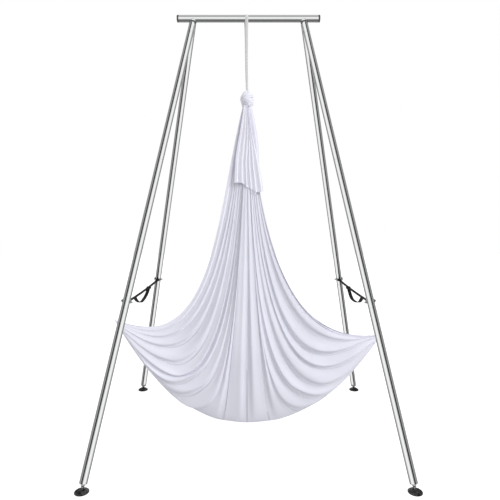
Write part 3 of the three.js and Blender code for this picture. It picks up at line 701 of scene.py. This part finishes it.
STRAP_STEPS = 60
EYE_STEPS = 28
TACK_INSET = 0.006
TACK_ROWS = 5
TACK_COLUMNS = 11
ROW_PITCH = 0.004
COLUMN_PITCH = 0.002
STITCH_RISE = 0.00015
# Corners of a stitch from its centre: four round it, then the top and the bottom
STITCH = ((-0.0008, 0, 0), (0, -0.0003, 0), (0.0008, 0, 0), (0, 0.0003, 0), (0, 0, 0.0003), (0, 0, -0.0003))


def build_straps():
    radius = EYE_RADIUS + WEBBING_THICKNESS / 2
    for name, side in SIDES:
        rear = leg_frame(side, 1) @ Vector((0, -BAIL_REACH, -BOLT_DISTANCE))
        reach = rear.y - radius

        def sag_at(y):
            return rear.z - STRAP_SAG * (1 - (y / reach) ** 2)

        places = [reach * (2 * share - 1) for share in shares(STRAP_STEPS)]
        path = [(rear.x, y, sag_at(y)) for y in places]
        webbing_band(f"strap_{name}", path, "frame", "black_webbing", [f"tie_strap_{name}"])
        for end_name, end in ENDS:
            middle = Vector((rear.x, end * rear.y, rear.z))
            ring = [middle + Vector((0, *around(radius, turn))) for turn in circle(EYE_STEPS)]
            webbing_band(f"eye_{end_name}_{name}", ring, "frame", "black_webbing", closed=True)
            start = end * (reach - WEBBING_THICKNESS / 2 - TACK_INSET)
            build_stitches(f"stitches_{end_name}_{name}", rear.x, -end, start, sag_at)
        build_slack(name, rear.x, sag_at)


def build_stitches(name, x, toward, start, sag_at):
    """Bar tacks: rows of short raised threads across both faces of the webbing."""
    vertices, faces = [], []
    for row in range(TACK_ROWS):
        y = start + toward * ROW_PITCH * row
        for column in range(TACK_COLUMNS):
            across = x + COLUMN_PITCH * (column - TACK_COLUMNS // 2)
            for face in (1, -1):
                base = len(vertices)
                centre = (across, y, sag_at(y) + face * (WEBBING_THICKNESS / 2 + STITCH_RISE))
                vertices += [Vector(centre) + Vector(corner) for corner in STITCH]
                for first, second in ((0, 1), (1, 2), (2, 3), (3, 0)):
                    faces.append((base + first, base + second, base + 4))
                    faces.append((base + second, base + first, base + 5))
    piece(name, new_mesh(name, vertices, faces), "frame", "black_webbing", look=LOOKS["black_plastic"])


SLACK_STEPS = 60
SLACK_ROUNDNESS = 2.4
SLACK_TWIST = 0.004
SLACK_TURNS = 6.6
END_STEPS = 8
END_DROOP = 0.0008


def build_slack(name, x, sag_at):
    """The strap's spare length: a hanging loop that comes back to the buckle, and its end."""
    layer = WEBBING_THICKNESS + BUCKLE_BAR + 2 * SEAT
    middle, half = (SLACK_START + SLACK_END) / 2, (SLACK_END - SLACK_START) / 2
    path = []
    for along in shares(SLACK_STEPS):
        share = 2 * along - 1
        fall = SLACK_DROP * (1 - abs(share) ** SLACK_ROUNDNESS)
        y = middle + half * share
        twist = SLACK_TWIST * math.sin(math.pi * along) * math.sin(SLACK_TURNS * along)
        path.append((x + twist, y, sag_at(y) - layer * along - fall))
    end_z = path[-1][2]
    for share in shares(END_STEPS)[1:]:
        path.append((x, SLACK_END + SLACK_TAIL * share, end_z - END_DROOP * share ** 2))
    webbing_band(f"slack_{name}", path, "frame", "black_webbing")
    build_buckle(name, x, sag_at(SLACK_END), layer)


def build_buckle(name, x, top_layer, layer):
    """Ladder buckle: a frame with rounded rails round both layers, and a bar between them."""
    width = WEBBING_WIDTH + 2 * SEAT
    height = layer + WEBBING_THICKNESS + 4 * SEAT
    centre = Matrix.Translation((x, SLACK_END + SLACK_TAIL / 2, top_layer - layer / 2))
    outside = block(width + 2 * BUCKLE_RAIL, BUCKLE_LENGTH, height + 2 * BUCKLE_RAIL, centre)
    ring = shaped(outside, cut=[block(width, BUCKLE_LENGTH * 2, height, centre)])
    bar = rod(BUCKLE_BAR / 2, -width / 2 - SEAT, width / 2 + SEAT, centre @ ALONG_X, 24)
    mesh = shaped(ring, [bar])
    soften(piece(f"ladder_{name}", mesh, "frame", "black_plastic", [f"buckle_{name}"]), BUCKLE_EDGE)


def block(width, depth, height, matrix):
    cube = bmesh.new()
    bmesh.ops.create_cube(cube, size=1)
    mesh = bpy.data.meshes.new("block")
    cube.to_mesh(mesh)
    cube.free()
    mesh.transform(matrix @ Matrix.Diagonal((width, depth, height, 1)))
    return mesh


SLING_WRAP = 0.04
BIGHT_WIDTH = 0.014
WIDER_ABOVE_KNOT = 0.005
WIDER_AT_BAR = 0.004
SLING_BOW = 0.004
SLING_LEAN = 0.002
SLING_SKEW = 0.003


def arc(height, radius, start, sweep, steps):
    places = [around(radius, start + sweep * share) for share in shares(steps)]
    return [(y, height + z) for y, z in places]


def between(first, last, steps):
    """Evenly spaced points from one to another, without the two themselves."""
    first, last = Vector(first), Vector(last)
    return [tuple(first + (last - first) * share) for share in shares(steps)[1:-1]]


def build_sling():
    """The webbing loop over the bar; its two strands narrow down to the knot."""
    over = BAR_RADIUS + SEAT + WEBBING_THICKNESS / 2
    under = BIGHT_RADIUS + WEBBING_THICKNESS / 2
    top = arc(BAR_HEIGHT, over, -SLING_WRAP, math.pi + 2 * SLING_WRAP, 40)
    bight = arc(BIGHT_HEIGHT, under, math.pi, math.pi, 32)
    outline = top + between(top[-1], bight[0], 50) + bight + between(bight[-1], top[0], 50)
    path, widths = [], []
    for y, z in outline:
        spread = min(max((z - BIGHT_HEIGHT) / (BAR_HEIGHT - BIGHT_HEIGHT), 0), 1)
        widths.append(BIGHT_WIDTH + WIDER_ABOVE_KNOT * min(spread * 5, 1) + WIDER_AT_BAR * spread ** 3)
        shift = SLING_BOW * math.sin(math.pi * min(spread, 0.5)) + SLING_LEAN * spread ** 3
        path.append((SLING_X - shift - SLING_SKEW * spread ** 2 * y / over, y, z))
    webbing_band("webbing_loop", path, "sling", "pale_webbing", ["sling"], True, widths)


# Hammock cloth

# Lines that the folds follow, from an open edge of the cloth to its middle: where each lies across
# the cloth and where it meets the bottom edge, then how far out and down its two inner points are
LEFT_FOLDS = [
    (1, 1, 0.245, 0.36, 0.235, 0.795),
    (0.84, 0.99, 0.2, 0.86, 0.63, 0.75),
    (0.7, 0.98, 0.18, 0.92, 0.52, 0.83),
    (0.55, 0.95, 0.11, 1.13, 0.65, 0.84),
    (0.4, 0.76, 0.05, 0.59, 0.16, 1.05),
    (0.27, 0.5, 0.06, 0.69, 0.15, 1.02),
    (0.13, 0.2, 0.03, 0.46, 0.12, 0.85),
    (0, 0, 0, 0.33, 0, 0.67),
]
RIGHT_FOLDS = [
    (1, 1, 0.02, 0.16, 0.235, 0.9),
    (0.84, 0.99, 0.1, 0.71, 0.69, 0.75),
    (0.7, 0.98, 0.13, 0.99, 0.7, 0.71),
    (0.55, 0.95, 0.09, 1.23, 0.93, 0.68),
    (0.4, 0.76, 0.03, 0.51, 0.12, 1.04),
    (0.27, 0.5, 0.03, 0.51, 0.05, 0.99),
    (0.13, 0.2, 0.02, 0.39, 0.1, 0.85),
    (0, 0, 0, 0.33, 0, 0.67),
]
LINE_POINTS = 121
CURVE_POINTS = 400
TIP_CURVE = 2.25


def even_curve(controls, count):
    """Points evenly spaced along a cubic curve through its four control points."""
    a, b, c, d = (np.array(point, float) for point in controls)
    t = np.linspace(0, 1, CURVE_POINTS)[:, None]
    fine = (1 - t) ** 3 * a + 3 * (1 - t) ** 2 * t * b + 3 * (1 - t) * t ** 2 * c + t ** 3 * d
    run = np.concatenate([[0], np.cumsum(np.linalg.norm(np.diff(fine, axis=0), axis=1))])
    even = np.linspace(0, run[-1], count)
    return np.stack([np.interp(even, run, fine[:, 0]), np.interp(even, run, fine[:, 1])], 1)


def fold_line(row, side):
    width, end, out1, down1, out2, down2 = row
    reach, tip = (LEFT_REACH, LEFT_TIP) if side < 0 else (RIGHT_REACH, RIGHT_TIP)
    drop = KNOT_BOTTOM - CLOTH_BOTTOM
    foot = CLOTH_BOTTOM + (tip - CLOTH_BOTTOM) * end ** TIP_CURVE
    controls = [(NECK_HALF_WIDTH * width, KNOT_BOTTOM), (reach * out1, KNOT_BOTTOM - drop * down1),
                (reach * out2, KNOT_BOTTOM - drop * down2), (reach * end, foot)]
    line = even_curve(controls, LINE_POINTS)
    line[:, 0] = SLING_X + side * line[:, 0]
    return line


def smooth_slopes(places, values):
    """Slopes for a smooth curve through values that never swings past them."""
    gaps = np.diff(places).reshape(-1, 1, 1)
    rises = np.diff(values, axis=0) / gaps
    slopes = np.zeros_like(values)
    same_way = rises[:-1] * rises[1:] > 0
    w1 = 2 * gaps[1:] + gaps[:-1]
    w2 = gaps[1:] + 2 * gaps[:-1]
    first = np.where(same_way, rises[:-1], 1)
    second = np.where(same_way, rises[1:], 1)
    slopes[1:-1] = np.where(same_way, (w1 + w2) / (w1 / first + w2 / second), 0)
    slopes[0] = rises[0]
    slopes[-1] = rises[-1]
    return slopes


class FoldField:
    """The panel's middle surface as [x, z]: across runs from -1 to 1, fall from the neck to the edge."""

    def __init__(self):
        rows = [(-row[0], fold_line(row, -1)) for row in LEFT_FOLDS]
        rows += [(row[0], fold_line(row, 1)) for row in reversed(RIGHT_FOLDS[:-1])]
        self.places = np.array([place for place, line in rows])
        self.lines = np.array([line for place, line in rows])
        self.slopes = smooth_slopes(self.places, self.lines)

    def at(self, across, fall):
        """Points for equally shaped arrays of across and fall."""
        across = np.clip(across, -1, 1)
        low = np.clip(np.searchsorted(self.places, across) - 1, 0, len(self.places) - 2)
        gap = self.places[low + 1] - self.places[low]
        share = ((across - self.places[low]) / gap)[..., None]
        place = np.clip(fall, 0, 1) * (LINE_POINTS - 1)
        step = np.clip(place.astype(int), 0, LINE_POINTS - 2)
        rest = (place - step)[..., None]

        def pick(table, index):
            return table[index, step] * (1 - rest) + table[index, step + 1] * rest

        span = gap[..., None]
        a, b = share ** 2 * (3 - 2 * share), share * (1 - share) ** 2
        c = share ** 2 * (share - 1)
        return (pick(self.lines, low) * (1 - a) + pick(self.lines, low + 1) * a
                + span * (pick(self.slopes, low) * b + pick(self.slopes, low + 1) * c))


# Pleats on one half, from the open edge to the middle: where each starts and its share of full depth
PLEAT_STARTS = {-1: (0, 0.07, 0.16, 0.25, 0.36, 0.46, 0.55, 0.66, 0.77, 0.88, 1),
                1: (0, 0.08, 0.16, 0.26, 0.37, 0.47, 0.57, 0.67, 0.78, 0.89, 1)}
PLEAT_DEPTHS = {-1: (0.6, 0.9, 1.15, 0.7, 1.3, 0.85, 1.25, 0.75, 1.1, 0.85),
                1: (0.8, 1.15, 1.35, 0.9, 1.45, 1.0, 1.35, 0.8, 1.15, 0.8)}
PLEAT_STEPS = 18
PLEAT_LEAN = 0.13
CREST_POWER = 1.5
SELVAGE_ROLL = 0.25
TUCK_GAP = 0.016
TUCK_SINK = 0.012
TUCK_DIP = 0.011
TUCK_SLOT = 0.0012
# Steps of a tuck, in under the next ridges and back out: share of its reach, and 1 on its deeper layer
TUCK_WAY = ((0.3, 1), (0.65, 1), (1, 1), (0.97, 0), (0.6, 0), (0.25, 0))


def pleat_wave(starts, depths, tucks):
    """Place across and depth of every column of a run of pleats.

    Each pleat is a round ridge that leans a little towards the end of the run. Spare cloth goes
    in at the valley after it: under the next ridges and back, by the pleat's share of its pitch."""
    last = len(depths) - 1
    columns = []
    for index in range(last + 1):
        edge = starts[index + 1]
        pitch = edge - starts[index]
        for step in range(PLEAT_STEPS):
            turn = 2 * math.pi * step / PLEAT_STEPS
            crest = ((1 - math.cos(turn)) / 2) ** CREST_POWER
            other = min(max(index + (1 if turn > math.pi else -1), 0), last)
            near = depths[index] + (depths[other] - depths[index]) * (1 - crest) / 2
            place = starts[index] + pitch * (turn / (2 * math.pi) + PLEAT_LEAN * crest)
            rolled = SELVAGE_ROLL if index == 0 and turn < math.pi else 1
            columns.append((place, -near * (1 - crest) * rolled))
        if index == last:
            break
        valley = (depths[index] + depths[index + 1]) / 2
        room = 1 - (last - index) * TUCK_GAP - edge
        reach = room * (1 - math.exp(-tucks[index] * pitch / room))
        sink = TUCK_SINK * min(tucks[index], 1)
        slot = TUCK_SLOT * min(2 * tucks[index], 1)
        deepest = max(depths[index + 1:index + 4])
        under = min(max(deepest - valley, 0), TUCK_DIP) * min(tucks[index], 1)
        for share, deeper in TUCK_WAY:
            drop = valley + under * min(3 * share, 1) + sink * share + slot * deeper
            columns.append((edge + reach * share, -drop))
    columns.append((starts[-1], -depths[-1]))
    return columns


CLOTH_WIDTH = 2.4
PANEL_LENGTH = 2.25
PANEL_ROWS = 110
PITCH_STEP = 0.01
SPARE_CLOTH = 1.32
TUCK_LIMIT = 6.5
TUCKS_FADE_FROM = 0.6
TUCKS_FADE_OVER = 0.36
PLEAT_LIFT = 0.028
LIFT_SHARE = 0.24
LEAST_LIFT = 0.002
SWELL = 0.3
NECK_DEPTH = 0.013
NECK_FLATNESS = 0.75
POCKET_DEPTH = 0.118
TIP_DEPTH = 0.034
BELLY_DROP = 2.4
BELLY_FULLNESS = 0.75
MOST_RELIEF = 0.9
PLEATS_END = 9
SMALL_FOLDS_END = 12
BACK_EDGE_DROP = 0.02
# Small folds: how many across, how deep, how fast they change on the way down, and their offset
MINOR_FOLDS = ((37, 0.0022, 3.1, 0.4), (59, 0.0015, 4.7, 1.9), (97, 0.001, 2.3, 4.1), (151, 0.0006, 3.9, 2.7))


def pleat_pitches(field, side, fall):
    """Widths of one half's pleats at one height, square to their fold lines, in metres."""
    starts = np.array(PLEAT_STARTS[side])
    across = -1 + starts if side < 0 else 1 - starts
    levels = (max(fall - PITCH_STEP, 0), fall, min(fall + PITCH_STEP, 1))
    above, points, below = (field.at(across, np.full(across.shape, level)) for level in levels)
    ways = below - above
    ways /= np.linalg.norm(ways, axis=1)[:, None]
    ways = (ways[1:] + ways[:-1]) / 2
    gaps = np.diff(points, axis=0)
    return np.abs(gaps[:, 0] * ways[:, 1] - gaps[:, 1] * ways[:, 0])


def half_panel(side, fall, pitches, widest):
    """Columns of one half at one height: a pleat keeps its width of cloth, laid flat or tucked."""
    faded = min(max((fall - TUCKS_FADE_FROM) / TUCKS_FADE_OVER, 0), 1)
    most = TUCK_LIMIT * (1 - faded) ** 2
    tucks = np.clip((SPARE_CLOTH * widest / np.maximum(pitches, 0.0001) - 1) / 2, 0, most)
    depths = []
    for index, (depth, pitch) in enumerate(zip(PLEAT_DEPTHS[side], pitches)):
        swell = 1 + SWELL * math.sin(6 * fall + 2.4 * index + side)
        depths.append(depth * min(PLEAT_LIFT, LIFT_SHARE * pitch + LEAST_LIFT) * swell)
    return pleat_wave(PLEAT_STARTS[side], depths, tucks)


def panel_depth(across, fall):
    """How far a panel hangs from the middle plane."""
    width = np.abs(across)
    belly = np.clip(np.sin(math.pi * fall ** BELLY_DROP), 0, 1) ** BELLY_FULLNESS
    depth = blend((POCKET_DEPTH, TIP_DEPTH), width ** 2)
    round_neck = np.sqrt(np.clip(1 - NECK_FLATNESS * width ** 2, 0, 1))
    return NECK_DEPTH * math.sqrt(1 - fall) * round_neck + depth * belly


def minor_folds(across, fall, face):
    """Small irregular folds between the pleats; they come and go on the way down."""
    total = np.zeros(across.shape)
    for count, depth, speed, phase in MINOR_FOLDS:
        swell = 0.5 + 0.5 * np.sin(speed * fall * 2 + 5 * across + phase)
        total += depth * swell * np.sin(count * across + phase + 1.5 * math.sin(speed * fall) + face)
    return total * min(fall * 3, 1)


def panel_row(field, face, fall, halves):
    """Points of one panel at one height, from the left open edge to the right one."""
    left, right = halves
    columns = [(-1 + place, drop) for place, drop in left]
    columns += [(1 - place, drop) for place, drop in reversed(right)]
    across, drops = np.array(columns).T
    points = field.at(across, np.full(across.shape, fall))
    depth = panel_depth(across, fall)
    drops = drops * (1 - fall ** PLEATS_END) + minor_folds(across, fall, face) * (1 - fall ** SMALL_FOLDS_END)
    out = np.minimum(-drops, depth * MOST_RELIEF)
    lowered = 0
    if face > 0:
        lowered = BACK_EDGE_DROP * np.abs(across) ** 10 * min(4 * fall, 1) * (1 - fall ** 6)
    return np.column_stack([points[:, 0], face * (depth - out), points[:, 1] - lowered])


def build_hammock():
    """The pocket as one sheet: the front panel down to the bottom edge, and the back one up again."""
    field = FoldField()
    falls = [math.sin(math.pi / 2 * share) for share in shares(PANEL_ROWS)]
    halves = []
    for name, side in SIDES:
        pitches = np.array([pleat_pitches(field, side, fall) for fall in falls])
        widest = pitches.max(axis=0)
        halves.append([half_panel(side, fall, here, widest) for fall, here in zip(falls, pitches)])
    front, back = ([panel_row(field, face, fall, both) for fall, both in zip(falls, zip(*halves))]
                   for face in (-1, 1))
    flat = (CLOTH_WIDTH, 2 * PANEL_LENGTH)
    hung_sheet("hammock", front + back[-2::-1], flat, LOOKS["cloth"], ["hammock_cloth"])


def hung_sheet(name, grid, flat, look, stands_for=()):
    """Cloth from rows of points, with UVs in metres of its flat size."""
    mesh = joined_rows(name, grid)
    width, length = flat
    add_uvs(mesh, [(width * across, length * down) for down in shares(len(grid) - 1)
                   for across in shares(len(grid[0]) - 1)])
    made = piece(name, mesh, "hammock", "cloth", stands_for, look=look)


# Knot and tail

KNOT_HEIGHT = KNOT_TOP - KNOT_BOTTOM
KNOT_HALF = 0.0485
KNOT_WIDTHS = ((0, 0.72), (0.08, 0.83), (0.2, 0.93), (0.34, 1.0), (0.5, 1.0), (0.64, 0.94), (0.76, 0.81),
               (0.87, 0.61), (0.95, 0.42), (1, 0.3))
KNOT_ROWS = 44
KNOT_SIDES = 120
KNOT_SINK = 0.0025
KNOT_SLANT = 0.07
CREASE_DEPTH = 0.009
CREASE_POWER = 0.6
PLEAT_HEIGHT = 0.0013
# The knot's mouth: distance below its top, and its width as a share of the top's
KNOT_MOUTH = ((0.004, 0.8), (0.012, 0.72), (0.03, 0.75))
# Wraps: middle and tilt as shares of the knot's height, half width, bearing of the start, and lift
WRAPS = ((0.36, 0.143, 0.027, 1.6, 0.0024), (0.58, 0.11, 0.021, 4.5, 0.0016))
WRAP_LOWEST = 0.03
WRAP_HIGHEST = 0.97
WRAP_STEPS = 96
WRAP_SIDES = 24
WRAP_SINK = 0.0102
WRAP_BULGE = 0.0078
WRAP_UNDERSIDE = 0.35
WRAP_PLEAT = 0.0017


def knot_radius(share):
    places, widths = zip(*KNOT_WIDTHS)
    return KNOT_HALF * float(np.interp(share, places, widths))


def round_knot(turn, radius, share):
    """A point round the knot's axis, by its share of the knot's height."""
    x, y = around(radius, turn)
    return SLING_X + x, y, KNOT_BOTTOM + KNOT_HEIGHT * share


def build_knot():
    """Wrapped cloth: an egg of slanted folds under two wraps that cross over each other."""
    rings = []
    for share in shares(KNOT_ROWS):
        ring = []
        for turn in circle(KNOT_SIDES):
            lowered = min(max(share + KNOT_SLANT * math.cos(turn) * math.sin(math.pi * share), 0), 1)
            crease = 1 - abs(math.sin((3 * turn + 5 * share + 0.07) / 2)) ** CREASE_POWER
            pleat = math.sin(turn * 9 + share * 7 + 1.2 * math.sin(turn * 2 + share * 4))
            radius = knot_radius(lowered) - KNOT_SINK - CREASE_DEPTH * crease + PLEAT_HEIGHT * pleat
            ring.append(round_knot(turn, radius, share))
        rings.append(ring)
    top = rings[-1]
    for depth, width in KNOT_MOUTH:
        rings.append([(SLING_X + (x - SLING_X) * width, y * width, KNOT_TOP - depth) for x, y, z in top])
    piece("knot_core", tube_of_rings("knot_core", rings), "hammock", "cloth", ["knot"], look=LAYERED_CLOTH)
    for index, sizes in enumerate(WRAPS, 1):
        build_wrap(f"knot_wrap_{index}", *sizes)


def build_wrap(name, level, tilt, half_width, start, lift):
    """A soft pleated band of cloth laid once round the knot."""
    rings = []
    for step in circle(WRAP_STEPS):
        turn = start + step
        share = level + tilt * math.sin(step)
        ring = []
        for angle in circle(WRAP_SIDES):
            across, out = math.cos(angle), math.sin(angle)
            place = min(max(share + across * half_width / KNOT_HEIGHT, WRAP_LOWEST), WRAP_HIGHEST)
            bulge = WRAP_BULGE * math.sqrt(max(1 - across * across, 0))
            radius = knot_radius(place) - WRAP_SINK + lift
            if out > 0:
                radius += bulge + WRAP_PLEAT * math.sin(across * 9 + 2.5 * math.sin(turn * 1.5))
            else:
                radius -= WRAP_UNDERSIDE * bulge
            ring.append(round_knot(turn, radius, place))
        rings.append(ring)
    piece(name, tube_of_rings(name, rings, True), "hammock", "cloth", look=LAYERED_CLOTH)


TAIL_TOP = 2.284
TAIL_UNIT = 0.03
TAIL_ROWS = 60
TAIL_FORWARD = 0.006
TAIL_SWAY = 0.004
TAIL_TURN_IN = 0.012
TAIL_SPREADS_BY = 1 / 1.4
# At the knot and at the hem: height of the ridges, and spare cloth in the tucks
TAIL_LIFT = (0.0015, 0.01)
TAIL_TUCKS = (3.4, 0.8)
# Sizes of the two ends of the cloth. Pleats start at these shares of the width at the knot and at the hem.
# Left and right are the edges on the way down, in tail units from the middle, and the hem is a share of
# the drop from left to right. The standoff is how far it hangs in front at the knot and at the hem.
TAIL = dict(
    at_knot=(0, 0.28, 0.6, 0.78, 0.88, 0.95, 1),
    at_hem=(0, 0.13, 0.33, 0.47, 0.62, 0.8, 1),
    depths=(0.7, 1.1, 0.9, 0.8, 1.2, 0.9),
    left=(-0.75, -1.15, -1.63, -2.2, -2.65, -2.83, -2.95),
    right=(0.2, 0.6, 1.2, 1.95, 2.75, 3.35, 3.85),
    hem=(0.903, 0.902, 0.9, 0.905, 0.922, 0.95, 0.966, 0.98, 1.0, 1.01, 1.012, 1.008, 1.003),
    standoff=(0.028, 0.046),
    drop=0.6,
    flat=(0.4, 0.6),
)
TAIL_UNDER = dict(
    at_knot=(0, 0.4, 1),
    at_hem=(0, 0.4, 1),
    depths=(0.8, 0.8),
    left=(-0.3, -0.1, 0.1, 0.3, 0.5, 0.6, 0.7),
    right=(1.05, 1.75, 2.4, 2.75, 2.8, 2.5, 2.2),
    hem=(0.95, 0.97, 1.0, 0.96),
    standoff=(0.017, 0.037),
    drop=0.636,
    flat=(0.12, 0.62),
)


def build_tail(name, at_knot, at_hem, depths, left, right, hem, standoff, drop, flat):
    """The folded end of the cloth, hanging in front of the pocket with a slanted hem."""
    grid = []
    levels, places = np.linspace(0, 1, len(left)), np.linspace(0, 1, len(hem))
    for down in shares(TAIL_ROWS):
        low, high = (SLING_X + TAIL_UNIT * np.interp(down, levels, edge) for edge in (left, right))
        lift = blend(TAIL_LIFT, down)
        swells = [lift * depth * (1 + SWELL * math.sin(3 * down + 2 * index))
                  for index, depth in enumerate(depths)]
        moved = min(down / TAIL_SPREADS_BY, 1)
        starts = [blend(ends, moved) for ends in zip(at_knot, at_hem)]
        forward = blend(standoff, down) + TAIL_FORWARD
        points = []
        for across, depth in pleat_wave(starts, swells, [blend(TAIL_TUCKS, down)] * len(depths)):
            across = min(across, 1)
            sway = TAIL_SWAY * math.sin(down * 5 + across * 3) * down
            inward = TAIL_TURN_IN * down * (1 - across)
            z = TAIL_TOP - drop * float(np.interp(across, places, hem)) * down
            points.append((blend((low, high), across), sway + inward - forward - depth, z))
        grid.append(points)
    hung_sheet(name, grid, flat, LAYERED_CLOTH)


# Stage and light

def add_floor():
    reach = 14
    corners = [(-reach, -reach, 0), (reach, -reach, 0), (reach, reach, 0), (-reach, reach, 0)]
    floor = placed("floor", new_mesh("floor", corners, [(0, 1, 2, 3)]))
    made, tree, shader = material("floor", (0.3, 0.3, 0.3), 0.9)
    setup(tree, shader, Emission_Color=(1, 1, 1, 1), Emission_Strength=0.9, Specular_IOR_Level=0)
    floor.data.materials.append(made)
    floor.visible_glossy = False
    floor.visible_diffuse = False


# Brightness of the reflected room by height, from straight below to straight above
ROOM = ((0, 0.12), (0.05, 0.15), (0.2, 0.27), (0.27, 0.32), (0.33, 0.9), (0.82, 1), (0.91, 0.5), (0.96, 0.36))
ROOM_BEHIND = 0.33
ROOM_LIGHT = 0.69


def mix(tree, share, first, second):
    return node(tree, "ShaderNodeMixRGB", Fac=share, Color1=first, Color2=second).outputs["Color"]


def add_world():
    """Soft white room; in reflections it is bright in front, darker below and behind."""
    world = bpy.data.worlds.new("world")
    bpy.context.scene.world = world
    world.use_nodes = True
    tree = world.node_tree
    ray = tree.nodes.new("ShaderNodeLightPath").outputs
    way = tree.nodes.new("ShaderNodeTexCoord").outputs["Generated"]
    parts = node(tree, "ShaderNodeSeparateXYZ", Vector=way).outputs
    height = node(tree, "ShaderNodeMapRange", Value=parts["Z"], From_Min=-1)
    in_front = ramp(tree, height.outputs["Result"], [(place, (value,) * 3) for place, value in ROOM])
    depth = node(tree, "ShaderNodeMapRange", Value=parts["Y"], From_Min=-0.25, From_Max=0.05)
    reflected = mix(tree, depth.outputs["Result"], in_front, (*[ROOM_BEHIND] * 3, 1))
    soft = mix(tree, ray["Is Glossy Ray"], (*[ROOM_LIGHT] * 3, 1), reflected)
    seen = mix(tree, ray["Is Camera Ray"], soft, (1, 1, 1, 1))
    setup(tree, tree.nodes["Background"], Color=seen)


def add_sun(name, energy, toward):
    data = bpy.data.lights.new(name, "SUN")
    data.energy = energy
    data.angle = math.radians(30)
    sun = placed(name, data)
    sun.visible_glossy = False
    sun.rotation_euler = Vector(toward).to_track_quat("-Z", "Y").to_euler()


def glow_material(brightness):
    made = bpy.data.materials.new("glow")
    made.use_nodes = True
    tree = made.node_tree
    tree.nodes.clear()
    glow = node(tree, "ShaderNodeEmission", Strength=brightness)
    node(tree, "ShaderNodeOutputMaterial", Surface=glow.outputs["Emission"])
    return made


# Brightness of a tent's walls. Round a leg: by bearing in degrees from the front towards the inside.
# Round the bar: by height in degrees from the front.
LEG_SECTORS = ((-180, -150, 0.9), (-150, -118, 0.1), (-118, -100, 0.36), (-100, -42, 0.32), (-42, -11, 0.02),
               (-11, 8, 0.38), (8, 80, 1.0), (80, 118, 0.45), (118, 150, 0.1), (150, 180, 0.9))
BAR_SECTORS = ((-180, -127, 0.1), (-127, -83, 0.27), (-83, -54, 0.13), (-54, -30, 0.28), (-30, 18, 0.95),
               (18, 55, 0.42), (55, 100, 0.6), (100, 180, 0.5))
# Along a leg: distance from its top, radius of its tent, and how far the sectors are drawn to the front
LEG_TENT = ((0.036, 0.03, 1.5), (0.13, 0.034, 1.45), (0.3, 0.075, 1.2), (0.64, 0.16, 1.0),
            (LEG_LENGTH + 0.05, 0.16, 1.0))
BAR_TENT = ((-BAR_HALF + 0.007, 0.045, 1.0), (BAR_HALF - 0.007, 0.045, 1.0))
END_TENT = ((BAR_HALF - 0.007, 0.045, 1.0), (BAR_HALF + 0.04, 0.045, 1.0))
COLLAR_TENT = ((0.024, 0.0275, 1.0), (0.036, 0.03, 1.0))
DARK_SECTORS = ((-180, 180, 0.1),)
TENT_STEPS = 8


def build_tent(name, sectors, rows, matrix):
    """A paper tube seen only in reflections: it gives the polished tube inside it dark and light bands."""
    bearings = []
    for start, stop, brightness in sectors:
        bearings += [start + (stop - start) * share for share in shares(TENT_STEPS)[:-1]]
    walls = []
    for bearing in bearings + [180]:
        wall = []
        for along, radius, drawn in rows:
            turn = math.copysign(math.pi * abs(bearing / 180) ** drawn, bearing)
            ahead, aside = around(radius, turn)
            wall.append(matrix @ Vector((aside, ahead, along)))
        walls.append(wall)
    mesh = joined_rows(name, walls)
    for start, stop, brightness in sectors:
        mesh.materials.append(glow_material(brightness))
    sector_faces = TENT_STEPS * (len(rows) - 1)
    for index, polygon in enumerate(mesh.polygons):
        polygon.material_index = index // sector_faces
    tent = placed(name, mesh)
    tent.visible_camera = False
    tent.visible_diffuse = False
    tent.visible_shadow = False
    tent.visible_transmission = False


def bar_frame(side):
    """Matrix of a tent on the bar: it runs out along X, and bearings count from the front upwards."""
    return Matrix(((0, 0, side, 0), (0, -1, 0, 0), (1, 0, 0, BAR_HEIGHT), (0, 0, 0, 1)))


def add_tents():
    for name, side, end in LEGS:
        matrix = leg_frame(side, end) @ Matrix.Diagonal((-side, -1, -1, 1))
        build_tent(f"tent_{name}", LEG_SECTORS, LEG_TENT, matrix)
        build_tent(f"tent_collar_{name}", DARK_SECTORS, COLLAR_TENT, matrix)
    for name, side in SIDES:
        build_tent(f"tent_bar_{name}", DARK_SECTORS, END_TENT, bar_frame(side))
    build_tent("tent_bar", BAR_SECTORS, BAR_TENT, bar_frame(1))


bpy.context.scene.view_settings.view_transform = "Standard"
add_camera()
add_floor()
add_world()
add_sun("key", 2.0, (-0.68, 0.58, -0.55))
add_sun("rim", 0.9, (0.6, -0.6, -0.5))
add_tents()
dress_cad_nodes()
build_bar()
build_legs()
build_sockets()
build_bolts()
build_bails()
build_feet()
build_straps()
build_sling()
build_hammock()
build_knot()
build_tail("tail", **TAIL)
build_tail("tail_under", **TAIL_UNDER)
